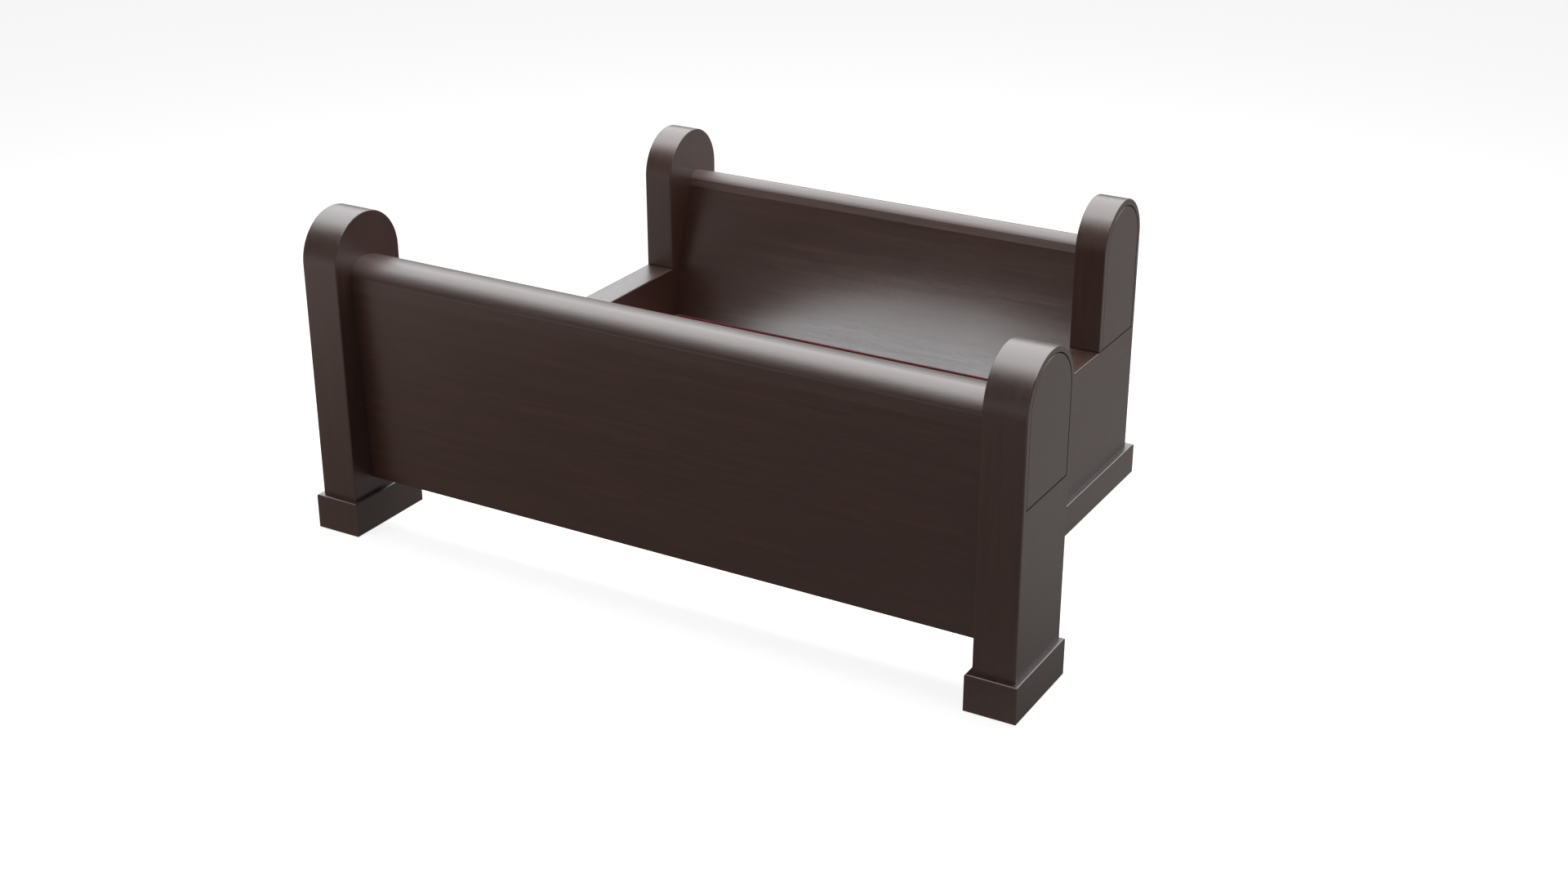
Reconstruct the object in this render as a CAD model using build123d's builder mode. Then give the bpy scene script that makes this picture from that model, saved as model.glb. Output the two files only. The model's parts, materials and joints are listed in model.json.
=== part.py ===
"""Church pew set: an upholstered pew and the free-standing front screen that stands before it.

Millimetres. +X runs along the length, +Y from the screen back to the pew, +Z is up.
The origin is on the floor under the middle of the whole set.
"""

import os

from build123d import *

# ---------------------------------------------------------------- layout of the set
FACE_TO_FACE = 1361.0  # front face of the screen's posts to front face of the pew's posts

# ---------------------------------------------------------------- front screen
SCREEN_LENGTH = 2400.0
SCREEN_HEIGHT = 1028.0
SCREEN_POST_WIDTH = 129.0
SCREEN_POST_DEPTH = 296.0
SCREEN_FOOT_HEIGHT = 113.0
SCREEN_FOOT_FRONT = 18.0  # how far the foot stands out before the post
SCREEN_FOOT_BACK = 8.0
SCREEN_FOOT_SIDE = 14.0
SCREEN_ARCH_MARGIN = 16.0
SCREEN_ARCH_BOTTOM = 618.0

PANEL_BOTTOM = 165.0
PANEL_TOP = 800.0  # where the panel's skins meet the cap rail
PANEL_TOP_INSET = 67.0  # from the post's front or back face, at the top of the panel
PANEL_BOTTOM_INSET = 90.0
SKIN = 18.0
BOTTOM_RAIL_HEIGHT = 50.0
CAP_TONGUE = 30.0  # the cap rail's tongue between the skins
CAP_FACE = 36.0  # upright face of the cap under its front roll
CAP_ROLL = 57.0  # the front roll of the cap
CAP_CROWN = 190.0  # the gentle crown falling to the back
CAP_BACK_ROLL = 30.0
END_STILE = 90.0
STUD = 40.0
STUD_SPACING = 530.0
STUD_COUNT = 3

# ---------------------------------------------------------------- pew
PEW_LENGTH = 1706.0
PEW_HEIGHT = 995.0
PEW_END_WIDTH = 103.0
PEW_POST_DEPTH = 290.0
PEW_END_TOP = 530.0  # arm level, where the back post stands on the end panel
PEW_END_REACH = 421.0  # the end panel before the post's front face
PEW_END_CORNER = 45.0
PEW_FOOT_HEIGHT = 101.0
PEW_FOOT_OVER = 22.0
PEW_ARCH_MARGIN = 20.0

BACK_THICKNESS = 25.0
BACK_BOTTOM = 205.0
BACK_TOP = 800.0
BACK_LOW_SLOPE = 0.104  # rake of the back's straight foot, mm back per mm up
BACK_HIGH_SLOPE = 0.35  # rake at the shoulders
BACK_FACE_LOW = (22.0, 296.0)  # behind the post's front face, height
BACK_FACE_MID = ((29.4, 358.0), (45.0, 484.0), (74.0, 620.0))
BACK_FACE_HIGH = (109.0, 750.0)
BACK_BOW = 10.0  # the curve's greatest distance before its chord
BACK_CAP_FACE = 24.0  # height of the cap's flat face under its roll
BACK_CAP_RADIUS = 36.0
BACK_CAP_LIP = 40.0  # the cap's lip behind the top of the panel

SEAT_RISE = 0.07  # the seat climbs this much towards the front, mm per mm
SEAT_BACK_HEIGHT = 358.0  # top of the pad where it meets the back
SEAT_FRONT = 18.0  # the seat's front edge behind the end panel's
PAD_THICKNESS = 62.0
PAD_SIDE_GAP = 4.0
PAD_BACK_GAP = 3.0
BOARD_THICKNESS = 22.0
APRON_THICKNESS = 25.0
APRON_BOTTOM = 215.0
APRON_SETBACK = 10.0
BACK_RAIL_THICKNESS = 32.0
CLEAT_WIDTH = 30.0
CLEAT_DEPTH = 45.0
BEARER_WIDTH = 40.0
BEARER_DEPTH = 70.0
BACK_CLEAT_DEPTH = 30.0
BACK_CLEAT_Z = (330.0, 740.0)
BACK_CLEAT_SCREW_Z = (400.0, 600.0, 700.0)
SEAT_CLEAT_SCREWS = (90.0, 200.0, 310.0)  # behind the seat's front edge

# ---------------------------------------------------------------- arch plates and joints
EDGE_ROUND = 4.0
FOOT_ROUND = 5.0
POST_FOOT_BEVEL = 2.5
RECESS_DEPTH = 12.0
ARCH_GAP = 3.0  # the shadow line around each arch plate
PLATE_BEVEL = 1.0
FIT = 0.1  # clearance around every dowel, bolt and screw

DOWEL_RADIUS = 10.0
DOWEL_LENGTH = 100.0
SMALL_DOWEL_RADIUS = 8.0
SMALL_DOWEL_LENGTH = 80.0
RAIL_DOWEL_RADIUS = 5.0
RAIL_DOWEL_LENGTH = 60.0
APRON_DOWEL_Z = (235.0, 280.0)
BACK_RAIL_DOWEL_Z = (225.0, 255.0)
SCREEN_DOWEL_HEIGHTS = (270.0, 420.0, 845.0)
BOLT_HEIGHTS = (668.0, 738.0)
BOLT_RADIUS = 6.0
BOLT_LENGTH = 160.0
BOLT_HEAD_RADIUS = 9.0
BOLT_HEAD = 10.0
BOLT_POCKET_RADIUS = 17.0
BOLT_POCKET = 16.0
WASHER_RADIUS = 15.0
WASHER = 2.5
BARREL_RADIUS = 12.0
BARREL_LENGTH = 50.0
BARREL_INSET = 50.0  # the barrel nut's axis from the post's inner face

LAG_RADIUS = 6.0
LAG_HEAD_RADIUS = 10.0
LAG_HEAD = 8.0
LAG_POCKET_RADIUS = 14.0
LAG_POCKET = 14.0
LAG_BITE = 60.0  # how far a foot screw reaches into what stands on the foot
SCREEN_LAG_OFFSET = 90.0
PEW_LAG_POSITIONS = (85.0, 260.0)  # behind the end panel's front edge

ROD_RADIUS = 6.0
ROD_OFFSET = 70.0  # either side of the back post's middle
ROD_NUT_RADIUS = 10.5
ROD_NUT = 10.0
NUT_SIDES = 6
ROD_POCKET_HALF = 25.0
ROD_POCKET_Z = (580.0, 640.0)
ROD_FOOT_POCKET_RADIUS = 18.0
ROD_FOOT_POCKET = 20.0
ROD_END = 4.0
POST_DOWEL_OFFSET = 115.0

SCREW_RADIUS = 3.0
SCREW_LENGTH = 60.0
SCREW_HEAD_RADIUS = 5.5
SCREW_HEAD = 3.5

# ---------------------------------------------------------------- positions that follow
SET_DEPTH = SCREEN_FOOT_FRONT + FACE_TO_FACE + PEW_POST_DEPTH + PEW_FOOT_OVER
SCREEN_Y = -SET_DEPTH / 2 + SCREEN_FOOT_FRONT  # front face of the screen's posts
SCREEN_MID_Y = SCREEN_Y + SCREEN_POST_DEPTH / 2
SCREEN_INNER_X = SCREEN_LENGTH / 2 - SCREEN_POST_WIDTH
PEW_Y = SCREEN_Y + FACE_TO_FACE  # front face of the pew's back posts
PEW_MID_Y = PEW_Y + PEW_POST_DEPTH / 2
PEW_BACK_Y = PEW_Y + PEW_POST_DEPTH
PEW_FRONT_Y = PEW_Y - PEW_END_REACH  # front edge of the end panels
PEW_INNER_X = PEW_LENGTH / 2 - PEW_END_WIDTH
PEW_MID_X = PEW_INNER_X + PEW_END_WIDTH / 2
SEAT_FRONT_Y = PEW_FRONT_Y + SEAT_FRONT
SCREW_BITE = SCREW_LENGTH - CLEAT_WIDTH  # depth of the cleats' screws in the ends
SIDES = {"left": -1, "right": 1}

os.makedirs("parts", exist_ok=True)


def save(name, label):
    """Label a finished piece and write its file."""
    name.part.label = label
    export_step(name.part, f"parts/{label}.step")


def slab_plane(side, inner, width):
    """The plane that an end piece is drawn on, so that it runs outwards from its inner face."""
    return Plane.YZ.offset(inner if side > 0 else -inner - width)


def round_topped(front, depth, bottom, top):
    """Face of a post: straight sides under a half-round top."""
    radius = depth / 2
    spring = top - radius
    with BuildLine() as outline:
        Polyline((front, spring), (front, bottom), (front + depth, bottom), (front + depth, spring))
        ThreePointArc((front + depth, spring), (front + radius, top), (front, spring))
    make_face(outline.edges())


# ---------------------------------------------------------------- posts and arch plates
def post(side, inner, width, front, depth, bottom, top):
    """Blank of a round-topped post with its long edges eased."""
    with BuildPart() as blank:
        with BuildSketch(slab_plane(side, inner, width)):
            round_topped(front, depth, bottom, top)
        extrude(amount=width)
        outline = blank.faces().filter_by(Axis.X).edges()
        fillet([e for e in outline if e.center().Z > bottom + EDGE_ROUND], EDGE_ROUND)
    return blank.part


def arch_plate(label, side, outer, front, depth, bottom, top, margin):
    """Arch-shaped plate let into the outer face of a post."""
    inset = margin + ARCH_GAP
    face = outer - RECESS_DEPTH
    with BuildPart() as plate:
        with BuildSketch(slab_plane(side, face, RECESS_DEPTH)):
            round_topped(front + inset, depth - 2 * inset, bottom + ARCH_GAP, top - inset)
        extrude(amount=RECESS_DEPTH)
        shown = plate.faces().sort_by(Axis.X)[-1 if side > 0 else 0]
        chamfer(shown.edges(), PLATE_BEVEL)
    save(plate, label)


def screen_post(label, side):
    lag_y = (SCREEN_MID_Y - SCREEN_LAG_OFFSET, SCREEN_MID_Y + SCREEN_LAG_OFFSET)
    outer = SCREEN_LENGTH / 2
    middle = side * (SCREEN_INNER_X + SCREEN_POST_WIDTH / 2)
    pocket_floor = outer - RECESS_DEPTH - BOLT_POCKET
    with BuildPart() as body:
        add(
            post(
                side,
                SCREEN_INNER_X,
                SCREEN_POST_WIDTH,
                SCREEN_Y,
                SCREEN_POST_DEPTH,
                SCREEN_FOOT_HEIGHT,
                SCREEN_HEIGHT,
            )
        )
        # recess for the arch plate
        with BuildSketch(slab_plane(side, outer - RECESS_DEPTH, RECESS_DEPTH)):
            round_topped(
                SCREEN_Y + SCREEN_ARCH_MARGIN,
                SCREEN_POST_DEPTH - 2 * SCREEN_ARCH_MARGIN,
                SCREEN_ARCH_BOTTOM,
                SCREEN_HEIGHT - SCREEN_ARCH_MARGIN,
            )
        extrude(amount=RECESS_DEPTH, mode=Mode.SUBTRACT)
        # pockets and holes of the bolts that hold the panel
        with BuildSketch(slab_plane(side, pocket_floor, BOLT_POCKET)):
            with Locations([(SCREEN_MID_Y, z) for z in BOLT_HEIGHTS]):
                Circle(BOLT_POCKET_RADIUS)
        extrude(amount=BOLT_POCKET, mode=Mode.SUBTRACT)
        with BuildSketch(slab_plane(side, SCREEN_INNER_X, SCREEN_POST_WIDTH)):
            with Locations([(SCREEN_MID_Y, z) for z in BOLT_HEIGHTS]):
                Circle(BOLT_RADIUS + FIT)
        extrude(amount=SCREEN_POST_WIDTH, mode=Mode.SUBTRACT)
        # dowel holes in the inner face
        with BuildSketch(slab_plane(side, SCREEN_INNER_X, DOWEL_LENGTH / 2)):
            with Locations([(SCREEN_MID_Y, z) for z in SCREEN_DOWEL_HEIGHTS]):
                Circle(DOWEL_RADIUS + FIT)
        extrude(amount=DOWEL_LENGTH / 2, mode=Mode.SUBTRACT)
        # foot screws from below
        with BuildSketch(Plane.XY.offset(SCREEN_FOOT_HEIGHT)):
            with Locations([(middle, y) for y in lag_y]):
                Circle(LAG_RADIUS + FIT)
        extrude(amount=LAG_BITE, mode=Mode.SUBTRACT)
    save(body, label)


def pew_post(label, side):
    outer = PEW_LENGTH / 2
    middle = side * PEW_MID_X
    rod_y = (PEW_MID_Y - ROD_OFFSET, PEW_MID_Y + ROD_OFFSET)
    dowel_y = (PEW_MID_Y - POST_DOWEL_OFFSET, PEW_MID_Y + POST_DOWEL_OFFSET)
    pocket_mid_z = sum(ROD_POCKET_Z) / 2
    pocket_height = ROD_POCKET_Z[1] - ROD_POCKET_Z[0]
    pocket_inner = PEW_MID_X - ROD_POCKET_HALF
    pocket_reach = outer - RECESS_DEPTH - pocket_inner
    with BuildPart() as body:
        add(post(side, PEW_INNER_X, PEW_END_WIDTH, PEW_Y, PEW_POST_DEPTH, PEW_END_TOP, PEW_HEIGHT))
        # small bevel along the foot of the front face
        low = body.edges().filter_by(Axis.X).filter_by_position(Axis.Z, PEW_END_TOP, PEW_END_TOP)
        chamfer(low.sort_by(Axis.Y)[0], POST_FOOT_BEVEL)
        # recess for the arch plate, down to the top of the end panel
        with BuildSketch(slab_plane(side, outer - RECESS_DEPTH, RECESS_DEPTH)):
            round_topped(
                PEW_Y + PEW_ARCH_MARGIN,
                PEW_POST_DEPTH - 2 * PEW_ARCH_MARGIN,
                PEW_END_TOP,
                PEW_HEIGHT - PEW_ARCH_MARGIN,
            )
        extrude(amount=RECESS_DEPTH, mode=Mode.SUBTRACT)
        # pockets for the tie rods' nuts, hidden by the arch plate
        with BuildSketch(slab_plane(side, pocket_inner, pocket_reach)):
            with Locations([(y, pocket_mid_z) for y in rod_y]):
                Rectangle(2 * ROD_POCKET_HALF, pocket_height)
        extrude(amount=pocket_reach, mode=Mode.SUBTRACT)
        with BuildSketch(Plane.XY.offset(PEW_END_TOP)):
            with Locations([(middle, y) for y in rod_y]):
                Circle(ROD_RADIUS + FIT)
        extrude(amount=ROD_POCKET_Z[0] - PEW_END_TOP, mode=Mode.SUBTRACT)
        # dowels down into the end panel and across into the cap rail
        with BuildSketch(Plane.XY.offset(PEW_END_TOP)):
            with Locations([(middle, y) for y in dowel_y]):
                Circle(SMALL_DOWEL_RADIUS + FIT)
        extrude(amount=SMALL_DOWEL_LENGTH / 2, mode=Mode.SUBTRACT)
        with BuildSketch(slab_plane(side, PEW_INNER_X, SMALL_DOWEL_LENGTH / 2)):
            with Locations([cap_centre()]):
                Circle(SMALL_DOWEL_RADIUS + FIT)
        extrude(amount=SMALL_DOWEL_LENGTH / 2, mode=Mode.SUBTRACT)
        # back cleat screws, the upper ones
        with BuildSketch(slab_plane(side, PEW_INNER_X, SCREW_BITE)):
            with Locations([p for p in back_cleat_screws() if p[1] > PEW_END_TOP]):
                Circle(SCREW_RADIUS + FIT)
        extrude(amount=SCREW_BITE, mode=Mode.SUBTRACT)
    save(body, label)


# ---------------------------------------------------------------- feet
def foot(label, side, inner, width, y_low, y_high, height, over, pockets):
    """Foot block under a post or end panel; pockets is a list of (points, hole, pocket, depth)."""
    mid_x = side * (inner + width / 2)
    mid_y = (y_low + y_high) / 2
    with BuildPart() as block:
        with BuildSketch():
            with Locations((mid_x, mid_y)):
                Rectangle(width + 2 * over, y_high - y_low)
        extrude(amount=height)
        fillet(block.faces().sort_by(Axis.Z)[-1].edges(), FOOT_ROUND)
        for points, hole, pocket, depth in pockets:
            with BuildSketch():
                with Locations([(mid_x, y) for y in points]):
                    Circle(hole)
            extrude(amount=height, mode=Mode.SUBTRACT)
            with BuildSketch():
                with Locations([(mid_x, y) for y in points]):
                    Circle(pocket)
            extrude(amount=depth, mode=Mode.SUBTRACT)
    save(block, label)


def screen_foot(label, side):
    lag_y = (SCREEN_MID_Y - SCREEN_LAG_OFFSET, SCREEN_MID_Y + SCREEN_LAG_OFFSET)
    foot(
        label,
        side,
        SCREEN_INNER_X,
        SCREEN_POST_WIDTH,
        SCREEN_Y - SCREEN_FOOT_FRONT,
        SCREEN_Y + SCREEN_POST_DEPTH + SCREEN_FOOT_BACK,
        SCREEN_FOOT_HEIGHT,
        SCREEN_FOOT_SIDE,
        [(lag_y, LAG_RADIUS + FIT, LAG_POCKET_RADIUS, LAG_POCKET)],
    )


def pew_foot(label, side):
    lag_y = [PEW_FRONT_Y + y for y in PEW_LAG_POSITIONS]
    rod_y = (PEW_MID_Y - ROD_OFFSET, PEW_MID_Y + ROD_OFFSET)
    foot(
        label,
        side,
        PEW_INNER_X,
        PEW_END_WIDTH,
        PEW_FRONT_Y - PEW_FOOT_OVER,
        PEW_BACK_Y + PEW_FOOT_OVER,
        PEW_FOOT_HEIGHT,
        PEW_FOOT_OVER,
        [
            (lag_y, LAG_RADIUS + FIT, LAG_POCKET_RADIUS, LAG_POCKET),
            (rod_y, ROD_RADIUS + FIT, ROD_FOOT_POCKET_RADIUS, ROD_FOOT_POCKET),
        ],
    )


# ---------------------------------------------------------------- screen panel
def panel_inset(z, depth=0.0):
    """Distance of the panel's tapered face behind the post's face at a height."""
    share = (PANEL_TOP - z) / (PANEL_TOP - PANEL_BOTTOM)
    return PANEL_TOP_INSET + (PANEL_BOTTOM_INSET - PANEL_TOP_INSET) * share + depth


def panel_band(z_low, z_high):
    """Section of the space between the two skins over a stretch of height."""
    back = SCREEN_POST_DEPTH
    with BuildLine() as outline:
        Polyline(
            (SCREEN_Y + panel_inset(z_low, SKIN), z_low),
            (SCREEN_Y + back - panel_inset(z_low, SKIN), z_low),
            (SCREEN_Y + back - panel_inset(z_high, SKIN), z_high),
            (SCREEN_Y + panel_inset(z_high, SKIN), z_high),
            close=True,
        )
    make_face(outline.edges())


def screen_skin(label, front):
    """One tapered skin of the panel."""

    def place(inset):
        return SCREEN_Y + inset if front else SCREEN_Y + SCREEN_POST_DEPTH - inset

    with BuildPart() as skin:
        with BuildSketch(Plane.YZ):
            with BuildLine():
                Polyline(
                    (place(panel_inset(PANEL_BOTTOM)), PANEL_BOTTOM),
                    (place(panel_inset(PANEL_BOTTOM, SKIN)), PANEL_BOTTOM),
                    (place(panel_inset(PANEL_TOP, SKIN)), PANEL_TOP),
                    (place(panel_inset(PANEL_TOP)), PANEL_TOP),
                    close=True,
                )
            make_face()
        extrude(amount=SCREEN_INNER_X, both=True)
    save(skin, label)


def screen_cap_rail():
    front = SCREEN_Y + PANEL_TOP_INSET
    back = SCREEN_Y + SCREEN_POST_DEPTH - PANEL_TOP_INSET
    crown_y = front + CAP_ROLL
    spring = PANEL_TOP + CAP_FACE
    crown_z = spring + CAP_ROLL
    centre_z = crown_z - CAP_CROWN
    back_y = back - CAP_BACK_ROLL
    reach = CAP_CROWN - CAP_BACK_ROLL
    back_z = centre_z + (reach**2 - (back_y - crown_y) ** 2) ** 0.5
    share = CAP_CROWN / reach
    meet = (crown_y + (back_y - crown_y) * share, centre_z + (back_z - centre_z) * share)
    low = PANEL_TOP - CAP_TONGUE
    with BuildPart() as rail:
        with BuildSketch(Plane.YZ):
            with BuildLine():
                Line((front, PANEL_TOP), (front, spring))
                TangentArc((front, spring), (crown_y, crown_z), tangent=(0, 1))
                crown = TangentArc((crown_y, crown_z), meet, tangent=(1, 0))
                TangentArc(meet, (back, back_z), tangent=crown % 1)
                Polyline((back, back_z), (back, PANEL_TOP), (front, PANEL_TOP))
            make_face()
        extrude(amount=SCREEN_INNER_X, both=True)
        # tongue between the skins
        with BuildSketch(Plane.YZ):
            panel_band(low, PANEL_TOP)
        extrude(amount=SCREEN_INNER_X, both=True)
        # dowel holes in both ends
        for side in SIDES.values():
            with BuildSketch(slab_plane(side, SCREEN_INNER_X - DOWEL_LENGTH / 2, DOWEL_LENGTH / 2)):
                with Locations((SCREEN_MID_Y, SCREEN_DOWEL_HEIGHTS[-1])):
                    Circle(DOWEL_RADIUS + FIT)
            extrude(amount=DOWEL_LENGTH / 2, mode=Mode.SUBTRACT)
    save(rail, "front_cap_rail")


def screen_bottom_rail():
    with BuildPart() as rail:
        with BuildSketch(Plane.YZ):
            panel_band(PANEL_BOTTOM, PANEL_BOTTOM + BOTTOM_RAIL_HEIGHT)
        extrude(amount=SCREEN_INNER_X, both=True)
    save(rail, "front_bottom_rail")


def screen_uprights():
    low = PANEL_BOTTOM + BOTTOM_RAIL_HEIGHT
    high = PANEL_TOP - CAP_TONGUE
    with BuildPart() as stiles:
        for side in SIDES.values():
            inner = SCREEN_INNER_X - END_STILE
            with BuildSketch(slab_plane(side, inner, END_STILE)):
                panel_band(low, high)
            extrude(amount=END_STILE)
            with BuildSketch(slab_plane(side, inner, END_STILE)):
                with Locations([(SCREEN_MID_Y, z) for z in BOLT_HEIGHTS]):
                    Circle(BOLT_RADIUS + FIT)
            extrude(amount=END_STILE, mode=Mode.SUBTRACT)
            with BuildSketch(slab_plane(side, SCREEN_INNER_X - DOWEL_LENGTH / 2, DOWEL_LENGTH / 2)):
                with Locations([(SCREEN_MID_Y, z) for z in SCREEN_DOWEL_HEIGHTS[:-1]]):
                    Circle(DOWEL_RADIUS + FIT)
            extrude(amount=DOWEL_LENGTH / 2, mode=Mode.SUBTRACT)
            # cross bores for the barrel nuts, seen in the XZ plane
            nut_x = side * (SCREEN_INNER_X - BARREL_INSET)
            with BuildSketch(Plane.XZ.offset(-SCREEN_MID_Y)):
                with Locations([(nut_x, z) for z in BOLT_HEIGHTS]):
                    Circle(BARREL_RADIUS + FIT)
            extrude(amount=BARREL_LENGTH / 2 + FIT, both=True, mode=Mode.SUBTRACT)
    save(stiles, "front_panel_end_stiles")
    with BuildPart() as studs:
        first = -STUD_SPACING * (STUD_COUNT - 1) / 2
        for number in range(STUD_COUNT):
            with BuildSketch(Plane.YZ.offset(first + number * STUD_SPACING - STUD / 2)):
                panel_band(low, high)
            extrude(amount=STUD)
    save(studs, "front_panel_studs")


# ---------------------------------------------------------------- pew back
def back_line(shift):
    """The raked curve of the back, from its bottom to its top, moved back by shift."""
    low_y = PEW_Y + BACK_FACE_LOW[0] + shift
    high_y = PEW_Y + BACK_FACE_HIGH[0] + shift
    bottom_y = low_y - (BACK_FACE_LOW[1] - BACK_BOTTOM) * BACK_LOW_SLOPE
    top_y = high_y + (BACK_TOP - BACK_FACE_HIGH[1]) * BACK_HIGH_SLOPE
    middle = [(PEW_Y + y + shift, z) for y, z in BACK_FACE_MID]
    Line((bottom_y, BACK_BOTTOM), (low_y, BACK_FACE_LOW[1]))
    Spline(
        (low_y, BACK_FACE_LOW[1]),
        *middle,
        (high_y, BACK_FACE_HIGH[1]),
        tangents=[(BACK_LOW_SLOPE, 1), (BACK_HIGH_SLOPE, 1)],
    )
    Line((high_y, BACK_FACE_HIGH[1]), (top_y, BACK_TOP))
    return (bottom_y, BACK_BOTTOM), (top_y, BACK_TOP)


def low_face_y(z):
    """The back's front face at a height on its straight foot."""
    return PEW_Y + BACK_FACE_LOW[0] - (BACK_FACE_LOW[1] - z) * BACK_LOW_SLOPE


def high_face_y(z):
    """The back's front face at a height on its straight shoulder."""
    return PEW_Y + BACK_FACE_HIGH[0] + (z - BACK_FACE_HIGH[1]) * BACK_HIGH_SLOPE


def cap_touch():
    """Where the cap's roll springs from the line of the back."""
    z = BACK_TOP + BACK_CAP_FACE
    return high_face_y(z), z


def cap_centre():
    """Axis of the cap's roll, square off the raked face."""
    length = (1 + BACK_HIGH_SLOPE**2) ** 0.5
    y, z = cap_touch()
    return y + BACK_CAP_RADIUS / length, z - BACK_CAP_RADIUS * BACK_HIGH_SLOPE / length


def pew_back_panel():
    with BuildPart() as panel:
        with BuildSketch(Plane.YZ):
            with BuildLine():
                front_low, front_high = back_line(0.0)
                back_low, back_high = back_line(BACK_THICKNESS)
                Line(front_low, back_low)
                Line(front_high, back_high)
            make_face()
        extrude(amount=PEW_INNER_X, both=True)
    save(panel, "pew_back_panel")


def pew_cap_rail():
    centre_y, centre_z = cap_centre()
    lip_z = BACK_TOP - BACK_CAP_LIP
    back_y = centre_y + BACK_CAP_RADIUS
    with BuildPart() as rail:
        with BuildSketch(Plane.YZ):
            with BuildLine():
                Line((high_face_y(BACK_TOP), BACK_TOP), cap_touch())
                ThreePointArc(
                    cap_touch(), (centre_y, centre_z + BACK_CAP_RADIUS), (back_y, centre_z)
                )
                Polyline(
                    (back_y, centre_z),
                    (back_y, lip_z),
                    (high_face_y(lip_z) + BACK_THICKNESS, lip_z),
                    (high_face_y(BACK_TOP) + BACK_THICKNESS, BACK_TOP),
                    (high_face_y(BACK_TOP), BACK_TOP),
                )
            make_face()
        extrude(amount=PEW_INNER_X, both=True)
        back_edges = rail.edges().filter_by(Axis.X).filter_by_position(Axis.Y, back_y, back_y)
        fillet(back_edges.sort_by(Axis.Z)[0], EDGE_ROUND)
        for side in SIDES.values():
            half = SMALL_DOWEL_LENGTH / 2
            with BuildSketch(slab_plane(side, PEW_INNER_X - half, half)):
                with Locations([cap_centre()]):
                    Circle(SMALL_DOWEL_RADIUS + FIT)
            extrude(amount=half, mode=Mode.SUBTRACT)
    save(rail, "pew_cap_rail")


def back_cleat_screws():
    """Points (Y, Z) of the screws that hold a back cleat to the end."""
    return [(back_cleat_mid(z), z) for z in BACK_CLEAT_SCREW_Z]


def back_cleat_mid(z):
    """Middle of the back cleat at a height, near enough for its screws."""
    low_y, low_z = BACK_FACE_LOW
    high_y, high_z = BACK_FACE_HIGH
    share = (z - low_z) / (high_z - low_z)
    bow = BACK_BOW * (1 - abs(2 * share - 1))
    return PEW_Y + low_y + (high_y - low_y) * share - bow + BACK_THICKNESS + BACK_CLEAT_DEPTH / 2


def back_cleat(label, side):
    """Batten behind the back panel, screwed to the end's inner face."""
    low_z, high_z = BACK_CLEAT_Z
    mid_z = (low_z + high_z) / 2
    shift = BACK_THICKNESS + FIT
    with BuildPart() as cleat:
        with BuildSketch(slab_plane(side, PEW_INNER_X - CLEAT_WIDTH, CLEAT_WIDTH)):
            with BuildLine():
                front_low, front_high = back_line(shift)
                back_low, back_high = back_line(shift + BACK_CLEAT_DEPTH)
                Line(front_low, back_low)
                Line(front_high, back_high)
            make_face()
            with Locations((PEW_MID_Y, mid_z)):
                Rectangle(2 * PEW_POST_DEPTH, high_z - low_z, mode=Mode.INTERSECT)
        extrude(amount=CLEAT_WIDTH)
        with BuildSketch(slab_plane(side, PEW_INNER_X - CLEAT_WIDTH, CLEAT_WIDTH)):
            with Locations(back_cleat_screws()):
                Circle(SCREW_RADIUS + FIT)
        extrude(amount=CLEAT_WIDTH, mode=Mode.SUBTRACT)
        head_inner = PEW_INNER_X - CLEAT_WIDTH
        with BuildSketch(slab_plane(side, head_inner, SCREW_HEAD)):
            with Locations(back_cleat_screws()):
                Circle(SCREW_HEAD_RADIUS + FIT)
        extrude(amount=SCREW_HEAD, mode=Mode.SUBTRACT)
    save(cleat, label)


# ---------------------------------------------------------------- pew ends
def seat_cleat_screws():
    """Points (Y, Z) of the screws that hold a seat cleat to the end."""
    places = [SEAT_FRONT_Y + step for step in SEAT_CLEAT_SCREWS]
    return [(y, board_under(y) - CLEAT_DEPTH / 2) for y in places]


def rail_dowel_points():
    """Points (Y, Z) of the dowels in the ends of the apron and the back rail."""
    apron_y = SEAT_FRONT_Y + APRON_SETBACK + APRON_THICKNESS / 2
    rail_y = low_face_y(BACK_BOTTOM) - BACK_RAIL_THICKNESS / 2
    return [(apron_y, z) for z in APRON_DOWEL_Z] + [(rail_y, z) for z in BACK_RAIL_DOWEL_Z]


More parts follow.
